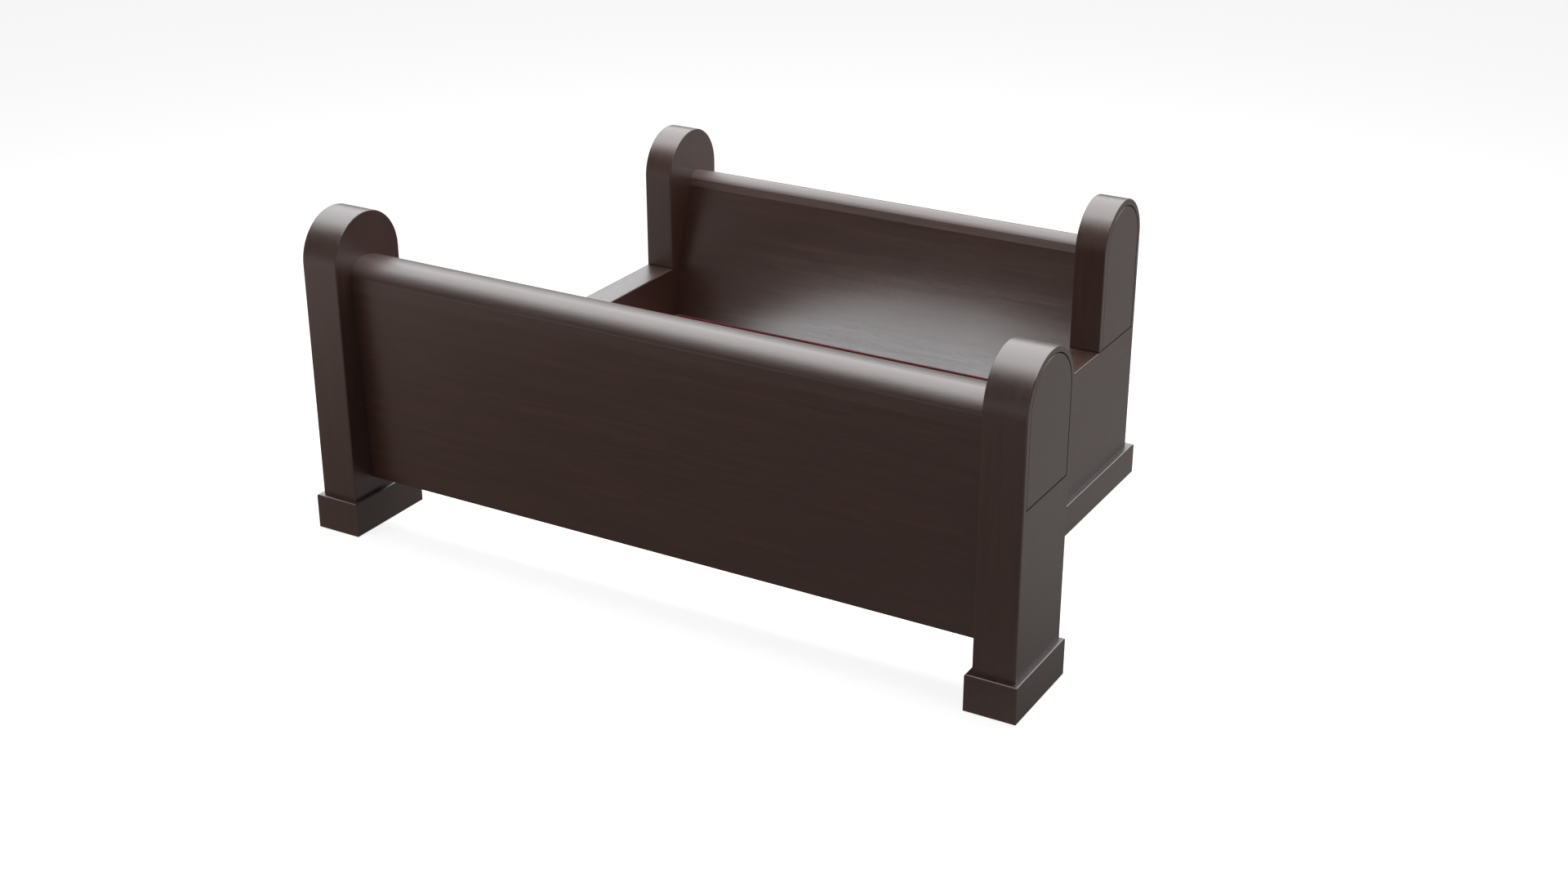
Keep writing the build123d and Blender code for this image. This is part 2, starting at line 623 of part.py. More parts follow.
def pew_end(label, side):
    """Lower end of the pew: arm in front, flat top where the back post stands."""
    middle = side * PEW_MID_X
    rod_y = (PEW_MID_Y - ROD_OFFSET, PEW_MID_Y + ROD_OFFSET)
    dowel_y = (PEW_MID_Y - POST_DOWEL_OFFSET, PEW_MID_Y + POST_DOWEL_OFFSET)
    lag_y = [PEW_FRONT_Y + y for y in PEW_LAG_POSITIONS]
    height = PEW_END_TOP - PEW_FOOT_HEIGHT
    with BuildPart() as end:
        with BuildSketch(slab_plane(side, PEW_INNER_X, PEW_END_WIDTH)):
            with BuildLine():
                Polyline(
                    (PEW_Y, PEW_END_TOP),
                    (PEW_Y, PEW_FOOT_HEIGHT),
                    (PEW_FRONT_Y, PEW_FOOT_HEIGHT),
                    (PEW_FRONT_Y, PEW_END_TOP - PEW_END_CORNER),
                )
                TangentArc(
                    (PEW_FRONT_Y, PEW_END_TOP - PEW_END_CORNER),
                    (PEW_FRONT_Y + PEW_END_CORNER, PEW_END_TOP),
                    tangent=(0, 1),
                )
                Line((PEW_FRONT_Y + PEW_END_CORNER, PEW_END_TOP), (PEW_Y, PEW_END_TOP))
            make_face()
        extrude(amount=PEW_END_WIDTH)
        outline = end.faces().filter_by(Axis.X).edges()
        eased = [
            e
            for e in outline
            if e.center().Z > PEW_FOOT_HEIGHT + EDGE_ROUND and e.center().Y < PEW_Y - EDGE_ROUND
        ]
        fillet(eased, EDGE_ROUND)
        # the part under the back post keeps square edges, so the two meet without a groove
        with BuildSketch(slab_plane(side, PEW_INNER_X, PEW_END_WIDTH)):
            with Locations((PEW_MID_Y, PEW_FOOT_HEIGHT + height / 2)):
                Rectangle(PEW_POST_DEPTH, height)
        extrude(amount=PEW_END_WIDTH)
        upright = end.edges().filter_by(Axis.Z).filter_by_position(Axis.Y, PEW_BACK_Y, PEW_BACK_Y)
        fillet(upright, EDGE_ROUND)
        with BuildSketch(Plane.XY.offset(PEW_FOOT_HEIGHT)):
            with Locations([(middle, y) for y in rod_y]):
                Circle(ROD_RADIUS + FIT)
        extrude(amount=height, mode=Mode.SUBTRACT)
        with BuildSketch(Plane.XY.offset(PEW_FOOT_HEIGHT)):
            with Locations([(middle, y) for y in lag_y]):
                Circle(LAG_RADIUS + FIT)
        extrude(amount=LAG_BITE, mode=Mode.SUBTRACT)
        with BuildSketch(Plane.XY.offset(PEW_END_TOP - SMALL_DOWEL_LENGTH / 2)):
            with Locations([(middle, y) for y in dowel_y]):
                Circle(SMALL_DOWEL_RADIUS + FIT)
        extrude(amount=SMALL_DOWEL_LENGTH / 2, mode=Mode.SUBTRACT)
        # screws of the cleats and dowels of the seat's two rails, in the inner face
        low_screws = [p for p in back_cleat_screws() if p[1] < PEW_END_TOP]
        with BuildSketch(slab_plane(side, PEW_INNER_X, SCREW_BITE)):
            with Locations(low_screws + seat_cleat_screws()):
                Circle(SCREW_RADIUS + FIT)
        extrude(amount=SCREW_BITE, mode=Mode.SUBTRACT)
        with BuildSketch(slab_plane(side, PEW_INNER_X, RAIL_DOWEL_LENGTH / 2)):
            with Locations(rail_dowel_points()):
                Circle(RAIL_DOWEL_RADIUS + FIT)
        extrude(amount=RAIL_DOWEL_LENGTH / 2, mode=Mode.SUBTRACT)
    save(end, label)


# ---------------------------------------------------------------- seat
def seat_top(y):
    """Top of the pad at a place along the depth."""
    back_y = PEW_Y + BACK_FACE_MID[0][0]
    return SEAT_BACK_HEIGHT + (back_y - y) * SEAT_RISE


def board_top(y):
    return seat_top(y) - PAD_THICKNESS


def board_under(y):
    return board_top(y) - BOARD_THICKNESS


def sloped_slab(y_low, y_high, upper, thickness):
    """Section with a sloping top and bottom."""
    with BuildLine() as outline:
        Polyline(
            (y_low, upper(y_low)),
            (y_high, upper(y_high)),
            (y_high, upper(y_high) - thickness),
            (y_low, upper(y_low) - thickness),
            close=True,
        )
    make_face(outline.edges())


def seat_board():
    back_y = low_face_y(board_under(PEW_Y + BACK_FACE_LOW[0])) - FIT
    with BuildPart() as board:
        with BuildSketch(Plane.YZ):
            sloped_slab(SEAT_FRONT_Y, back_y, board_top, BOARD_THICKNESS)
        extrude(amount=PEW_INNER_X, both=True)
    save(board, "seat_board")


def seat_pad():
    back_y = low_face_y(board_top(PEW_Y)) - PAD_BACK_GAP
    with BuildPart() as pad:
        with BuildSketch(Plane.YZ):
            sloped_slab(SEAT_FRONT_Y, back_y, seat_top, PAD_THICKNESS)
        extrude(amount=PEW_INNER_X - PAD_SIDE_GAP, both=True)
    save(pad, "seat_pad")


def seat_apron():
    front = SEAT_FRONT_Y + APRON_SETBACK
    back = front + APRON_THICKNESS
    with BuildPart() as apron:
        with BuildSketch(Plane.YZ):
            with BuildLine():
                Polyline(
                    (front, APRON_BOTTOM),
                    (back, APRON_BOTTOM),
                    (back, board_under(back)),
                    (front, board_under(front)),
                    close=True,
                )
            make_face()
        extrude(amount=PEW_INNER_X, both=True)
        rail_ends(rail_dowel_points()[: len(APRON_DOWEL_Z)])
    save(apron, "seat_apron")


def seat_back_rail():
    front = low_face_y(BACK_BOTTOM) - BACK_RAIL_THICKNESS
    back_top_z = board_under(low_face_y(board_under(PEW_Y)))
    with BuildPart() as rail:
        with BuildSketch(Plane.YZ):
            with BuildLine():
                Polyline(
                    (front, BACK_BOTTOM),
                    (low_face_y(BACK_BOTTOM), BACK_BOTTOM),
                    (low_face_y(BACK_BOTTOM), back_top_z),
                    (front, board_under(front)),
                    close=True,
                )
            make_face()
        extrude(amount=PEW_INNER_X, both=True)
        rail_ends(rail_dowel_points()[len(APRON_DOWEL_Z) :])
    save(rail, "seat_back_rail")


def rail_ends(points):
    """Dowel holes in both ends of a seat rail."""
    half = RAIL_DOWEL_LENGTH / 2
    for side in SIDES.values():
        with BuildSketch(slab_plane(side, PEW_INNER_X - half, half)) as holes:
            with Locations(points):
                Circle(RAIL_DOWEL_RADIUS + FIT)
        extrude(holes.sketch, amount=half, mode=Mode.SUBTRACT)


def bearer_reach():
    """Front and back of the clear space between the apron and the back rail."""
    front = SEAT_FRONT_Y + APRON_SETBACK + APRON_THICKNESS
    return front, low_face_y(BACK_BOTTOM) - BACK_RAIL_THICKNESS


def seat_cleat(label, side):
    front, back = bearer_reach()
    inner = PEW_INNER_X - CLEAT_WIDTH
    with BuildPart() as cleat:
        with BuildSketch(slab_plane(side, inner, CLEAT_WIDTH)):
            sloped_slab(front, back, board_under, CLEAT_DEPTH)
        extrude(amount=CLEAT_WIDTH)
        with BuildSketch(slab_plane(side, inner, CLEAT_WIDTH)):
            with Locations(seat_cleat_screws()):
                Circle(SCREW_RADIUS + FIT)
        extrude(amount=CLEAT_WIDTH, mode=Mode.SUBTRACT)
        with BuildSketch(slab_plane(side, inner, SCREW_HEAD)):
            with Locations(seat_cleat_screws()):
                Circle(SCREW_HEAD_RADIUS + FIT)
        extrude(amount=SCREW_HEAD, mode=Mode.SUBTRACT)
    save(cleat, label)


def seat_bearer():
    front, back = bearer_reach()
    with BuildPart() as bearer:
        with BuildSketch(Plane.YZ.offset(-BEARER_WIDTH / 2)):
            sloped_slab(front, back, board_under, BEARER_DEPTH)
        extrude(amount=BEARER_WIDTH)
    save(bearer, "seat_bearer")


# ---------------------------------------------------------------- fastenings
def crosswise(points, radius, inner, length):
    """Round bars along X at (Y, Z) points, one set at each end."""
    for side in SIDES.values():
        with BuildSketch(slab_plane(side, inner, length)) as rounds:
            with Locations(points):
                Circle(radius)
        extrude(rounds.sketch, amount=length)


def upright(points, radius, bottom, top):
    """Round bars along Z at (X, Y) points."""
    with BuildSketch(Plane.XY.offset(bottom)) as rounds:
        with Locations(points):
            Circle(radius)
    extrude(rounds.sketch, amount=top - bottom)


def screen_fastenings():
    bolt_points = [(SCREEN_MID_Y, z) for z in BOLT_HEIGHTS]
    seat_x = SCREEN_LENGTH / 2 - RECESS_DEPTH - BOLT_POCKET
    head_x = seat_x + WASHER
    with BuildPart() as bolts:
        crosswise(bolt_points, BOLT_RADIUS, head_x - BOLT_LENGTH, BOLT_LENGTH)
        crosswise(bolt_points, BOLT_HEAD_RADIUS, head_x, BOLT_HEAD)
    save(bolts, "front_panel_bolts")
    with BuildPart() as washers:
        crosswise(bolt_points, WASHER_RADIUS, seat_x, WASHER)
        for side in SIDES.values():
            with BuildSketch(slab_plane(side, seat_x, WASHER)):
                with Locations(bolt_points):
                    Circle(BOLT_RADIUS + FIT)
            extrude(amount=WASHER, mode=Mode.SUBTRACT)
    save(washers, "front_bolt_washers")
    nut_x = SCREEN_INNER_X - BARREL_INSET
    with BuildPart() as nuts:
        with BuildSketch(Plane.XZ.offset(-SCREEN_MID_Y)):
            with Locations([(s * nut_x, z) for s in SIDES.values() for z in BOLT_HEIGHTS]):
                Circle(BARREL_RADIUS)
        extrude(amount=BARREL_LENGTH / 2, both=True)
        for side in SIDES.values():
            with BuildSketch(slab_plane(side, nut_x - BARREL_RADIUS, 2 * BARREL_RADIUS)):
                with Locations(bolt_points):
                    Circle(BOLT_RADIUS + FIT)
            extrude(amount=2 * BARREL_RADIUS, mode=Mode.SUBTRACT)
    save(nuts, "front_barrel_nuts")
    with BuildPart() as dowels:
        crosswise(
            [(SCREEN_MID_Y, z) for z in SCREEN_DOWEL_HEIGHTS],
            DOWEL_RADIUS,
            SCREEN_INNER_X - DOWEL_LENGTH / 2,
            DOWEL_LENGTH,
        )
    save(dowels, "front_panel_dowels")
    post_x = SCREEN_INNER_X + SCREEN_POST_WIDTH / 2
    lag_y = (SCREEN_MID_Y - SCREEN_LAG_OFFSET, SCREEN_MID_Y + SCREEN_LAG_OFFSET)
    lag_screws(
        "front_foot_screws",
        [(s * post_x, y) for s in SIDES.values() for y in lag_y],
        SCREEN_FOOT_HEIGHT,
    )


def lag_screws(label, points, foot_height):
    """Coach screws up through a foot block."""
    with BuildPart() as screws:
        upright(points, LAG_RADIUS, LAG_POCKET, foot_height + LAG_BITE)
        upright(points, LAG_HEAD_RADIUS, LAG_POCKET - LAG_HEAD, LAG_POCKET)
    save(screws, label)


def pew_fastenings():
    rod_y = (PEW_MID_Y - ROD_OFFSET, PEW_MID_Y + ROD_OFFSET)
    rod_points = [(s * PEW_MID_X, y) for s in SIDES.values() for y in rod_y]
    low_seat = ROD_FOOT_POCKET
    high_seat = ROD_POCKET_Z[0]
    with BuildPart() as rods:
        upright(rod_points, ROD_RADIUS, ROD_END, high_seat + WASHER + ROD_NUT + ROD_END)
    save(rods, "pew_tie_rods")
    with BuildPart() as washers:
        upright(rod_points, WASHER_RADIUS, low_seat - WASHER, low_seat)
        upright(rod_points, WASHER_RADIUS, high_seat, high_seat + WASHER)
        with BuildSketch():
            with Locations(rod_points):
                Circle(ROD_RADIUS + FIT)
        extrude(amount=high_seat + WASHER, mode=Mode.SUBTRACT)
    save(washers, "pew_tie_rod_washers")
    with BuildPart() as nuts:
        for bottom in (low_seat - WASHER - ROD_NUT, high_seat + WASHER):
            with BuildSketch(Plane.XY.offset(bottom)):
                with Locations(rod_points):
                    RegularPolygon(ROD_NUT_RADIUS, NUT_SIDES)
                with Locations(rod_points):
                    Circle(ROD_RADIUS + FIT, mode=Mode.SUBTRACT)
            extrude(amount=ROD_NUT)
    save(nuts, "pew_tie_rod_nuts")
    lag_points = [
        (s * PEW_MID_X, PEW_FRONT_Y + y) for s in SIDES.values() for y in PEW_LAG_POSITIONS
    ]
    lag_screws("pew_foot_screws", lag_points, PEW_FOOT_HEIGHT)
    half = SMALL_DOWEL_LENGTH / 2
    dowel_y = (PEW_MID_Y - POST_DOWEL_OFFSET, PEW_MID_Y + POST_DOWEL_OFFSET)
    with BuildPart() as dowels:
        upright(
            [(s * PEW_MID_X, y) for s in SIDES.values() for y in dowel_y],
            SMALL_DOWEL_RADIUS,
            PEW_END_TOP - half,
            PEW_END_TOP + half,
        )
        crosswise([cap_centre()], SMALL_DOWEL_RADIUS, PEW_INNER_X - half, SMALL_DOWEL_LENGTH)
    save(dowels, "pew_post_dowels")
    with BuildPart() as rail_dowels:
        crosswise(
            rail_dowel_points(),
            RAIL_DOWEL_RADIUS,
            PEW_INNER_X - RAIL_DOWEL_LENGTH / 2,
            RAIL_DOWEL_LENGTH,
        )
    save(rail_dowels, "seat_rail_dowels")
    points = back_cleat_screws() + seat_cleat_screws()
    inner = PEW_INNER_X - CLEAT_WIDTH
    with BuildPart() as screws:
        crosswise(points, SCREW_RADIUS, inner, SCREW_LENGTH)
        crosswise(points, SCREW_HEAD_RADIUS, inner, SCREW_HEAD)
    save(screws, "cleat_screws")


# ---------------------------------------------------------------- the whole set
for word, sign in SIDES.items():
    screen_post(f"front_post_{word}", sign)
    screen_foot(f"front_foot_{word}", sign)
    arch_plate(
        f"front_arch_plate_{word}",
        sign,
        SCREEN_LENGTH / 2,
        SCREEN_Y,
        SCREEN_POST_DEPTH,
        SCREEN_ARCH_BOTTOM,
        SCREEN_HEIGHT,
        SCREEN_ARCH_MARGIN,
    )
    pew_end(f"pew_end_{word}", sign)
    pew_post(f"pew_back_post_{word}", sign)
    pew_foot(f"pew_foot_{word}", sign)
    arch_plate(
        f"pew_arch_plate_{word}",
        sign,
        PEW_LENGTH / 2,
        PEW_Y,
        PEW_POST_DEPTH,
        PEW_END_TOP,
        PEW_HEIGHT,
        PEW_ARCH_MARGIN,
    )
    back_cleat(f"back_cleat_{word}", sign)
    seat_cleat(f"seat_cleat_{word}", sign)
screen_skin("front_panel_front_skin", True)
screen_skin("front_panel_back_skin", False)
screen_cap_rail()
screen_bottom_rail()
screen_uprights()
screen_fastenings()
pew_back_panel()
pew_cap_rail()
seat_board()
seat_pad()
seat_apron()
seat_back_rail()
seat_bearer()
pew_fastenings()
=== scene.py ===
"""Looks of the church pew and its front screen.

Dark varnished mahogany, plain inner timber, zinc-plated fittings and a burgundy upholstered seat,
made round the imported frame. Metres, +X along the length, +Y from the screen back to the pew, +Z up.
"""

import json
import math

import bmesh
import bpy
from mathutils import Matrix, Quaternion, Vector


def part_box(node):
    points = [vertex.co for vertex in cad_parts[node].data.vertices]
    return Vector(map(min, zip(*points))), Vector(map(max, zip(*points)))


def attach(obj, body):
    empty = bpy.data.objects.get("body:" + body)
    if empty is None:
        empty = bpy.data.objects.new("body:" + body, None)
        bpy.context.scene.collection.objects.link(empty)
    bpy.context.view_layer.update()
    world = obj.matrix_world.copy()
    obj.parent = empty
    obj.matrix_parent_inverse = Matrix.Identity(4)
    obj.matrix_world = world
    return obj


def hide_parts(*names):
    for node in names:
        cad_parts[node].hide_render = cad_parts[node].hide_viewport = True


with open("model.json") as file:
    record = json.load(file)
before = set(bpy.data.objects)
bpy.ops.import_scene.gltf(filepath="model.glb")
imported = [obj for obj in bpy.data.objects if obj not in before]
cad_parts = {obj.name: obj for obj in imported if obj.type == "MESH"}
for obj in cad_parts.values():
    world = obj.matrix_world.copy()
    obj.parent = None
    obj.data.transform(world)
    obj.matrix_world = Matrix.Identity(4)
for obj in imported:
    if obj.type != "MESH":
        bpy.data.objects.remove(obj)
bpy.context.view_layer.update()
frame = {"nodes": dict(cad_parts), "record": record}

bl_info = {
    "name": "Church Pew and Front Screen",
    "version": (1, 0, 0),
    "blender": (4, 5, 0),
    "location": "View3D > Sidebar > Church Pew",
    "description": "Finishes the pew's woodwork, upholsters its seat and lights it in a studio",
    "category": "Object",
}

# ---------------------------------------------------------------- the frame's pieces
SIDES = ("left", "right")
SCREEN_POSTS = [f"front_post_{side}" for side in SIDES]
SCREEN_PLATES = [f"front_arch_plate_{side}" for side in SIDES]
SCREEN_FEET = [f"front_foot_{side}" for side in SIDES]
SCREEN_PANEL = ["front_panel_front_skin", "front_panel_back_skin", "front_bottom_rail"]
PEW_POSTS = [f"pew_back_post_{side}" for side in SIDES]
PEW_PLATES = [f"pew_arch_plate_{side}" for side in SIDES]
PEW_ENDS = [f"pew_end_{side}" for side in SIDES]
PEW_FEET = [f"pew_foot_{side}" for side in SIDES]
CAP_RAILS = {"front_cap_rail": 0.0, "pew_cap_rail": 0.2}  # how far each one's face looks up
SEAT_RAILS = ["seat_apron", "seat_back_rail"]
BACK_PANEL = "pew_back_panel"
SEAT_PAD = "seat_pad"

ALONG = {"X": (0.0, 0.0, 0.0), "Y": (0.0, 0.0, -math.pi / 2), "Z": (0.0, math.pi / 2, 0.0)}
GRAIN_SHIFT = Vector((3.7, 1.9, 2.3))  # from one board's pattern to the next, so no two match
HALF = (0.5, 0.5, 0.5)
ABOVE_ALL = 1.0  # puts a top edge that a piece doesn't have out of reach
WORLD_BODY = "root"


def nodes_in_slot(slot):
    """The frame's nodes whose finish the record takes from this slot."""
    entries = frame["record"]["subparts"]
    return [entry["node"] for entry in entries if entry.get("material_slot") == slot]


# ---------------------------------------------------------------- settings
class PewWood(bpy.types.PropertyGroup):
    """Stain, figure and varnish of the mahogany."""

    dark: bpy.props.FloatVectorProperty(
        name="Dark grain", description="Colour of the stain in the dark bands", subtype="COLOR",
        size=3, min=0, max=1, default=(0.045, 0.0150, 0.0077))
    middle: bpy.props.FloatVectorProperty(
        name="Middle grain", description="Colour of the stain in the light bands", subtype="COLOR",
        size=3, min=0, max=1, default=(0.056, 0.0190, 0.0093))
    streak: bpy.props.FloatVectorProperty(
        name="Red streaks", description="Colour where the red of the wood shows through",
        subtype="COLOR", size=3, min=0, max=1, default=(0.086, 0.0205, 0.0100))
    worn: bpy.props.FloatVectorProperty(
        name="Worn edges", description="Colour of the wood where the stain is rubbed thin",
        subtype="COLOR", size=3, min=0, max=1, default=(0.12, 0.062, 0.042))
    roughness: bpy.props.FloatProperty(
        name="Varnish roughness", description="Middle roughness of the satin-gloss varnish",
        subtype="FACTOR", min=0, max=1, default=0.34)
    roughness_spread: bpy.props.FloatProperty(
        name="Roughness spread", description="How far the grain moves the roughness",
        subtype="FACTOR", min=0, max=1, default=0.12)
    cap_duller: bpy.props.FloatProperty(
        name="Cap dullness", description="How much rougher the handled caps are",
        subtype="FACTOR", min=0, max=1, default=0.04)
    cap_ease: bpy.props.FloatProperty(
        name="Cap ease", description="How far the front of a cap's roll turns up",
        min=0, default=0.38)
    refraction: bpy.props.FloatProperty(
        name="Refractive index", description="Refractive index of the varnish",
        min=1, max=3, default=1.9)
    gloss: bpy.props.FloatProperty(
        name="Gloss", description="Strength of the varnish's reflections", subtype="FACTOR",
        min=0, max=1, default=0.7)
    figure_length: bpy.props.FloatProperty(
        name="Figure length", description="Length of the bands along the grain", unit="LENGTH",
        min=0.01, default=0.5)
    figure_width: bpy.props.FloatProperty(
        name="Figure width", description="Width of the bands across the grain", unit="LENGTH",
        min=0.001, default=0.022)
    wear_width: bpy.props.FloatProperty(
        name="Wear width", description="How far from an edge the stain is rubbed", unit="LENGTH",
        min=0.001, default=0.007)
    wear: bpy.props.FloatProperty(
        name="Wear", description="How much of the worn colour shows at the edges", subtype="FACTOR",
        min=0, max=1, default=0.35)
    back_lean: bpy.props.FloatProperty(
        name="Back lean", description="How far the back's face turns up at the seat",
        min=0, default=1.2)
    back_nod: bpy.props.FloatProperty(
        name="Back nod", description="How far the back's face turns down at the cap",
        min=0, default=0.16)


class PewTimber(bpy.types.PropertyGroup):
    """The unvarnished timber inside."""

    dark: bpy.props.FloatVectorProperty(
        name="Late wood", description="Colour of the hard dark bands", subtype="COLOR",
        size=3, min=0, max=1, default=(0.24, 0.13, 0.06))
    middle: bpy.props.FloatVectorProperty(
        name="Early wood", description="Colour of the soft pale bands", subtype="COLOR",
        size=3, min=0, max=1, default=(0.44, 0.28, 0.15))
    roughness: bpy.props.FloatProperty(
        name="Roughness", description="Middle roughness of the sawn and planed faces",
        subtype="FACTOR", min=0, max=1, default=0.66)


class PewSeat(bpy.types.PropertyGroup):
    """Shape and cloth of the upholstered seat."""

    rise: bpy.props.FloatProperty(
        name="Seat rise", description="How much the seat climbs to the front for each metre",
        min=0, default=0.07)
    ease: bpy.props.FloatProperty(
        name="Ease", description="How much smaller the pad starts than the space that it fills",
        unit="LENGTH", min=0, default=0.004)
    edge_round: bpy.props.FloatProperty(
        name="Edge round", description="Radius of the foam's edges", unit="LENGTH",
        min=0.001, default=0.012)
    voxel: bpy.props.FloatProperty(
        name="Cloth cell", description="Size of the cloth's mesh while it is filled", unit="LENGTH",
        min=0.002, default=0.0075)
    pressure: bpy.props.FloatProperty(
        name="Filling", description="Pressure of the filling on the cloth", min=0, default=4.0)
    frames: bpy.props.IntProperty(
        name="Frames", description="Steps for which the filling swells the cloth",
        min=2, default=20)
    swell: bpy.props.FloatProperty(
        name="Swell", description="The furthest that the filling moves the cloth", unit="LENGTH",
        min=0, default=0.014)
    piping: bpy.props.FloatProperty(
        name="Piping radius", description="Radius of the covered cord along the seam",
        unit="LENGTH", min=0.001, default=0.0044)
    yarn: bpy.props.FloatProperty(
        name="Yarn pitch", description="Distance between two yarns of the weave", unit="LENGTH",
        min=0.0005, default=0.0021)
    colour: bpy.props.FloatVectorProperty(
        name="Cloth", description="Main colour of the cloth", subtype="COLOR",
        size=3, min=0, max=1, default=(0.135, 0.014, 0.020))
    faded: bpy.props.FloatVectorProperty(
        name="Faded cloth", description="Colour of the yarns' tops and rubbed places",
        subtype="COLOR", size=3, min=0, max=1, default=(0.25, 0.036, 0.046))


class PewStudio(bpy.types.PropertyGroup):
    """Floor, lamps and camera."""

    camera_place: bpy.props.FloatVectorProperty(
        name="Camera", description="Where the camera stands", subtype="TRANSLATION", unit="LENGTH",
        size=3, default=(3.1935, -5.5177, 3.0701))
    camera_down: bpy.props.FloatProperty(
        name="Looking down", description="How far the camera looks below the level",
        subtype="ANGLE", unit="ROTATION", default=0.41748)
    camera_round: bpy.props.FloatProperty(
        name="Turned", description="How far the camera is turned to the left", subtype="ANGLE",
        unit="ROTATION", default=0.52348)
    lens: bpy.props.FloatProperty(
        name="Lens", description="Focal length on a 36 mm wide sensor, in mm", min=1, default=50.0)
    floor_size: bpy.props.FloatProperty(
        name="Floor", description="Side of the square floor", unit="LENGTH", min=1, default=60.0)
    floor_colour: bpy.props.FloatVectorProperty(
        name="Floor colour", description="Colour of the pale floor", subtype="COLOR",
        size=3, min=0, max=1, default=(0.93, 0.93, 0.93))
    floor_cast: bpy.props.FloatVectorProperty(
        name="Floor cast", description="Colour that the floor throws back on the wood",
        subtype="COLOR", size=3, min=0, max=1, default=(0.95, 0.88, 0.86))
    daylight: bpy.props.FloatProperty(
        name="Room light", description="Strength of the even light from all round",
        min=0, default=0.13)


# ---------------------------------------------------------------- short ways to lay out nodes
def put(tree, kind, values=(), **settings):
    """Adds a node with these settings, and links or sets its inputs."""
    node = tree.nodes.new(kind if kind.startswith("NodeGroup") else "ShaderNode" + kind)
    for name, value in settings.items():
        setattr(node, name, value)
    for name, value in dict(values).items():
        if isinstance(value, bpy.types.NodeSocket):
            tree.links.new(value, node.inputs[name])
        else:
            node.inputs[name].default_value = value
    return node


def calc(tree, operation, *values, clamp=False):
    """One step of arithmetic on numbers."""
    return put(tree, "Math", enumerate(values), operation=operation, use_clamp=clamp).outputs[0]


def vector(tree, operation, *values):
    """One step of arithmetic on vectors."""
    return put(tree, "VectorMath", enumerate(values), operation=operation).outputs[0]


def split(tree, value):
    """The three parts of a vector."""
    return put(tree, "SeparateXYZ", {0: value}).outputs


def mixed(tree, factor, first, second, mode="MIX"):
    """Two colours mixed by a factor."""
    values = {0: factor, 6: first, 7: second}
    return put(tree, "Mix", values, data_type="RGBA", blend_type=mode).outputs[2]


def ranged(tree, value, low, high, to_low=0.0, to_high=1.0, smooth=False):
    """A number brought from one range to another, and held inside it."""
    kind = "SMOOTHSTEP" if smooth else "LINEAR"
    values = {0: value, 1: low, 2: high, 3: to_low, 4: to_high}
    return put(tree, "MapRange", values, interpolation_type=kind).outputs[0]


def noise(tree, place, detail=2.0, roughness=0.5, distortion=0.0):
    """Smooth noise at a place whose own scale is already set."""
    values = {"Vector": place, "Scale": 1.0, "Detail": detail}
    values.update({"Roughness": roughness, "Distortion": distortion})
    return put(tree, "TexNoise", values).outputs["Fac"]


def new_group(name, inputs, outputs):
    """An empty shader node group with these named sockets, and its input and output nodes."""
    tree = bpy.data.node_groups.new(name, "ShaderNodeTree")
    for label, kind in inputs.items():
        tree.interface.new_socket(label, in_out="INPUT", socket_type="NodeSocket" + kind)
    for label, kind in outputs.items():
        tree.interface.new_socket(label, in_out="OUTPUT", socket_type="NodeSocket" + kind)
    return tree, put(tree, "NodeGroupInput").outputs, put(tree, "NodeGroupOutput").inputs


def grouped(tree, name, **values):
    """Places a finished group, with underscores in the names of its inputs read as spaces."""
    node = tree.nodes.new("ShaderNodeGroup")
    node.node_tree = GROUPS[name]()
    for label, value in values.items():
        socket = node.inputs[label.replace("_", " ")]
        if isinstance(value, bpy.types.NodeSocket):
            tree.links.new(value, socket)
        else:
            socket.default_value = value
    return node.outputs


# ---------------------------------------------------------------- effects that materials share
FIBRE_SCALE = (7.0, 260.0, 260.0)  # fibres about 4 mm across and 140 mm long
PORE_SCALE = (55.0, 1300.0, 1300.0)  # open pores under a millimetre across
STREAK_SCALE = (1.7, 1.5, 1.5)  # red streaks against the size of the figure
STREAK_SHIFT = (5.1, 2.7, 8.3)  # keeps the streaks from following the figure
FIGURE_BAND = (0.32, 0.68)  # where the figure's noise turns from dark to light
STREAK_BAND = (0.56, 0.72)  # where the red starts to show, and where it is full
PORE_BAND = (0.6, 0.72)  # where a pore opens, and where it is fully open
FIBRE_SHADE = (0.6, 0.70)  # share of the fibres in the shade, and the shade without them
PORE_SHADE = -0.35  # what an open pore takes from the shade
PORE_DEPTH = -0.5  # and from the relief
FIBRE_SHARE = 0.5  # share of the fibres in the relief and in the roughness
FIGURE_RELIEF = 0.4  # share of the figure in the relief

RUB_SCALE = (38.0, 38.0, 24.0)  # patches of wear, a few centimetres each
RUB_WIDTH = (2.0, 0.1)  # how the patches widen the wear, and its least width

GLOW_START = -0.1  # along the back, from its left end, as a share of its length
GLOW_FULL = 0.42  # where the glow is full at the bottom of the back
GLOW_SLANT = 0.45  # how much later the glow is full at the top than at the bottom
GLOW_FADE = 0.75  # where it starts to fade again
GLOW_AT_END = 0.8  # what is left of it at the right end

ROLL_POWER = 1.5  # how quickly the ease goes as a face turns from the front
ROLL_BAND = (0.02, 0.25)  # how far a face looks up where the ease starts, and where it is full

SLUB_SCALE = (90.0, 700.0, 1.0)  # thick places in the yarn, about 11 mm long
SLUB_SHARE = 0.5
CLOTH_RUB_SCALE = (5.0, 9.0, 1.0)  # patches where the cloth has faded, 10 to 20 cm each
CLOTH_RUB_BAND = (0.3, 0.75)

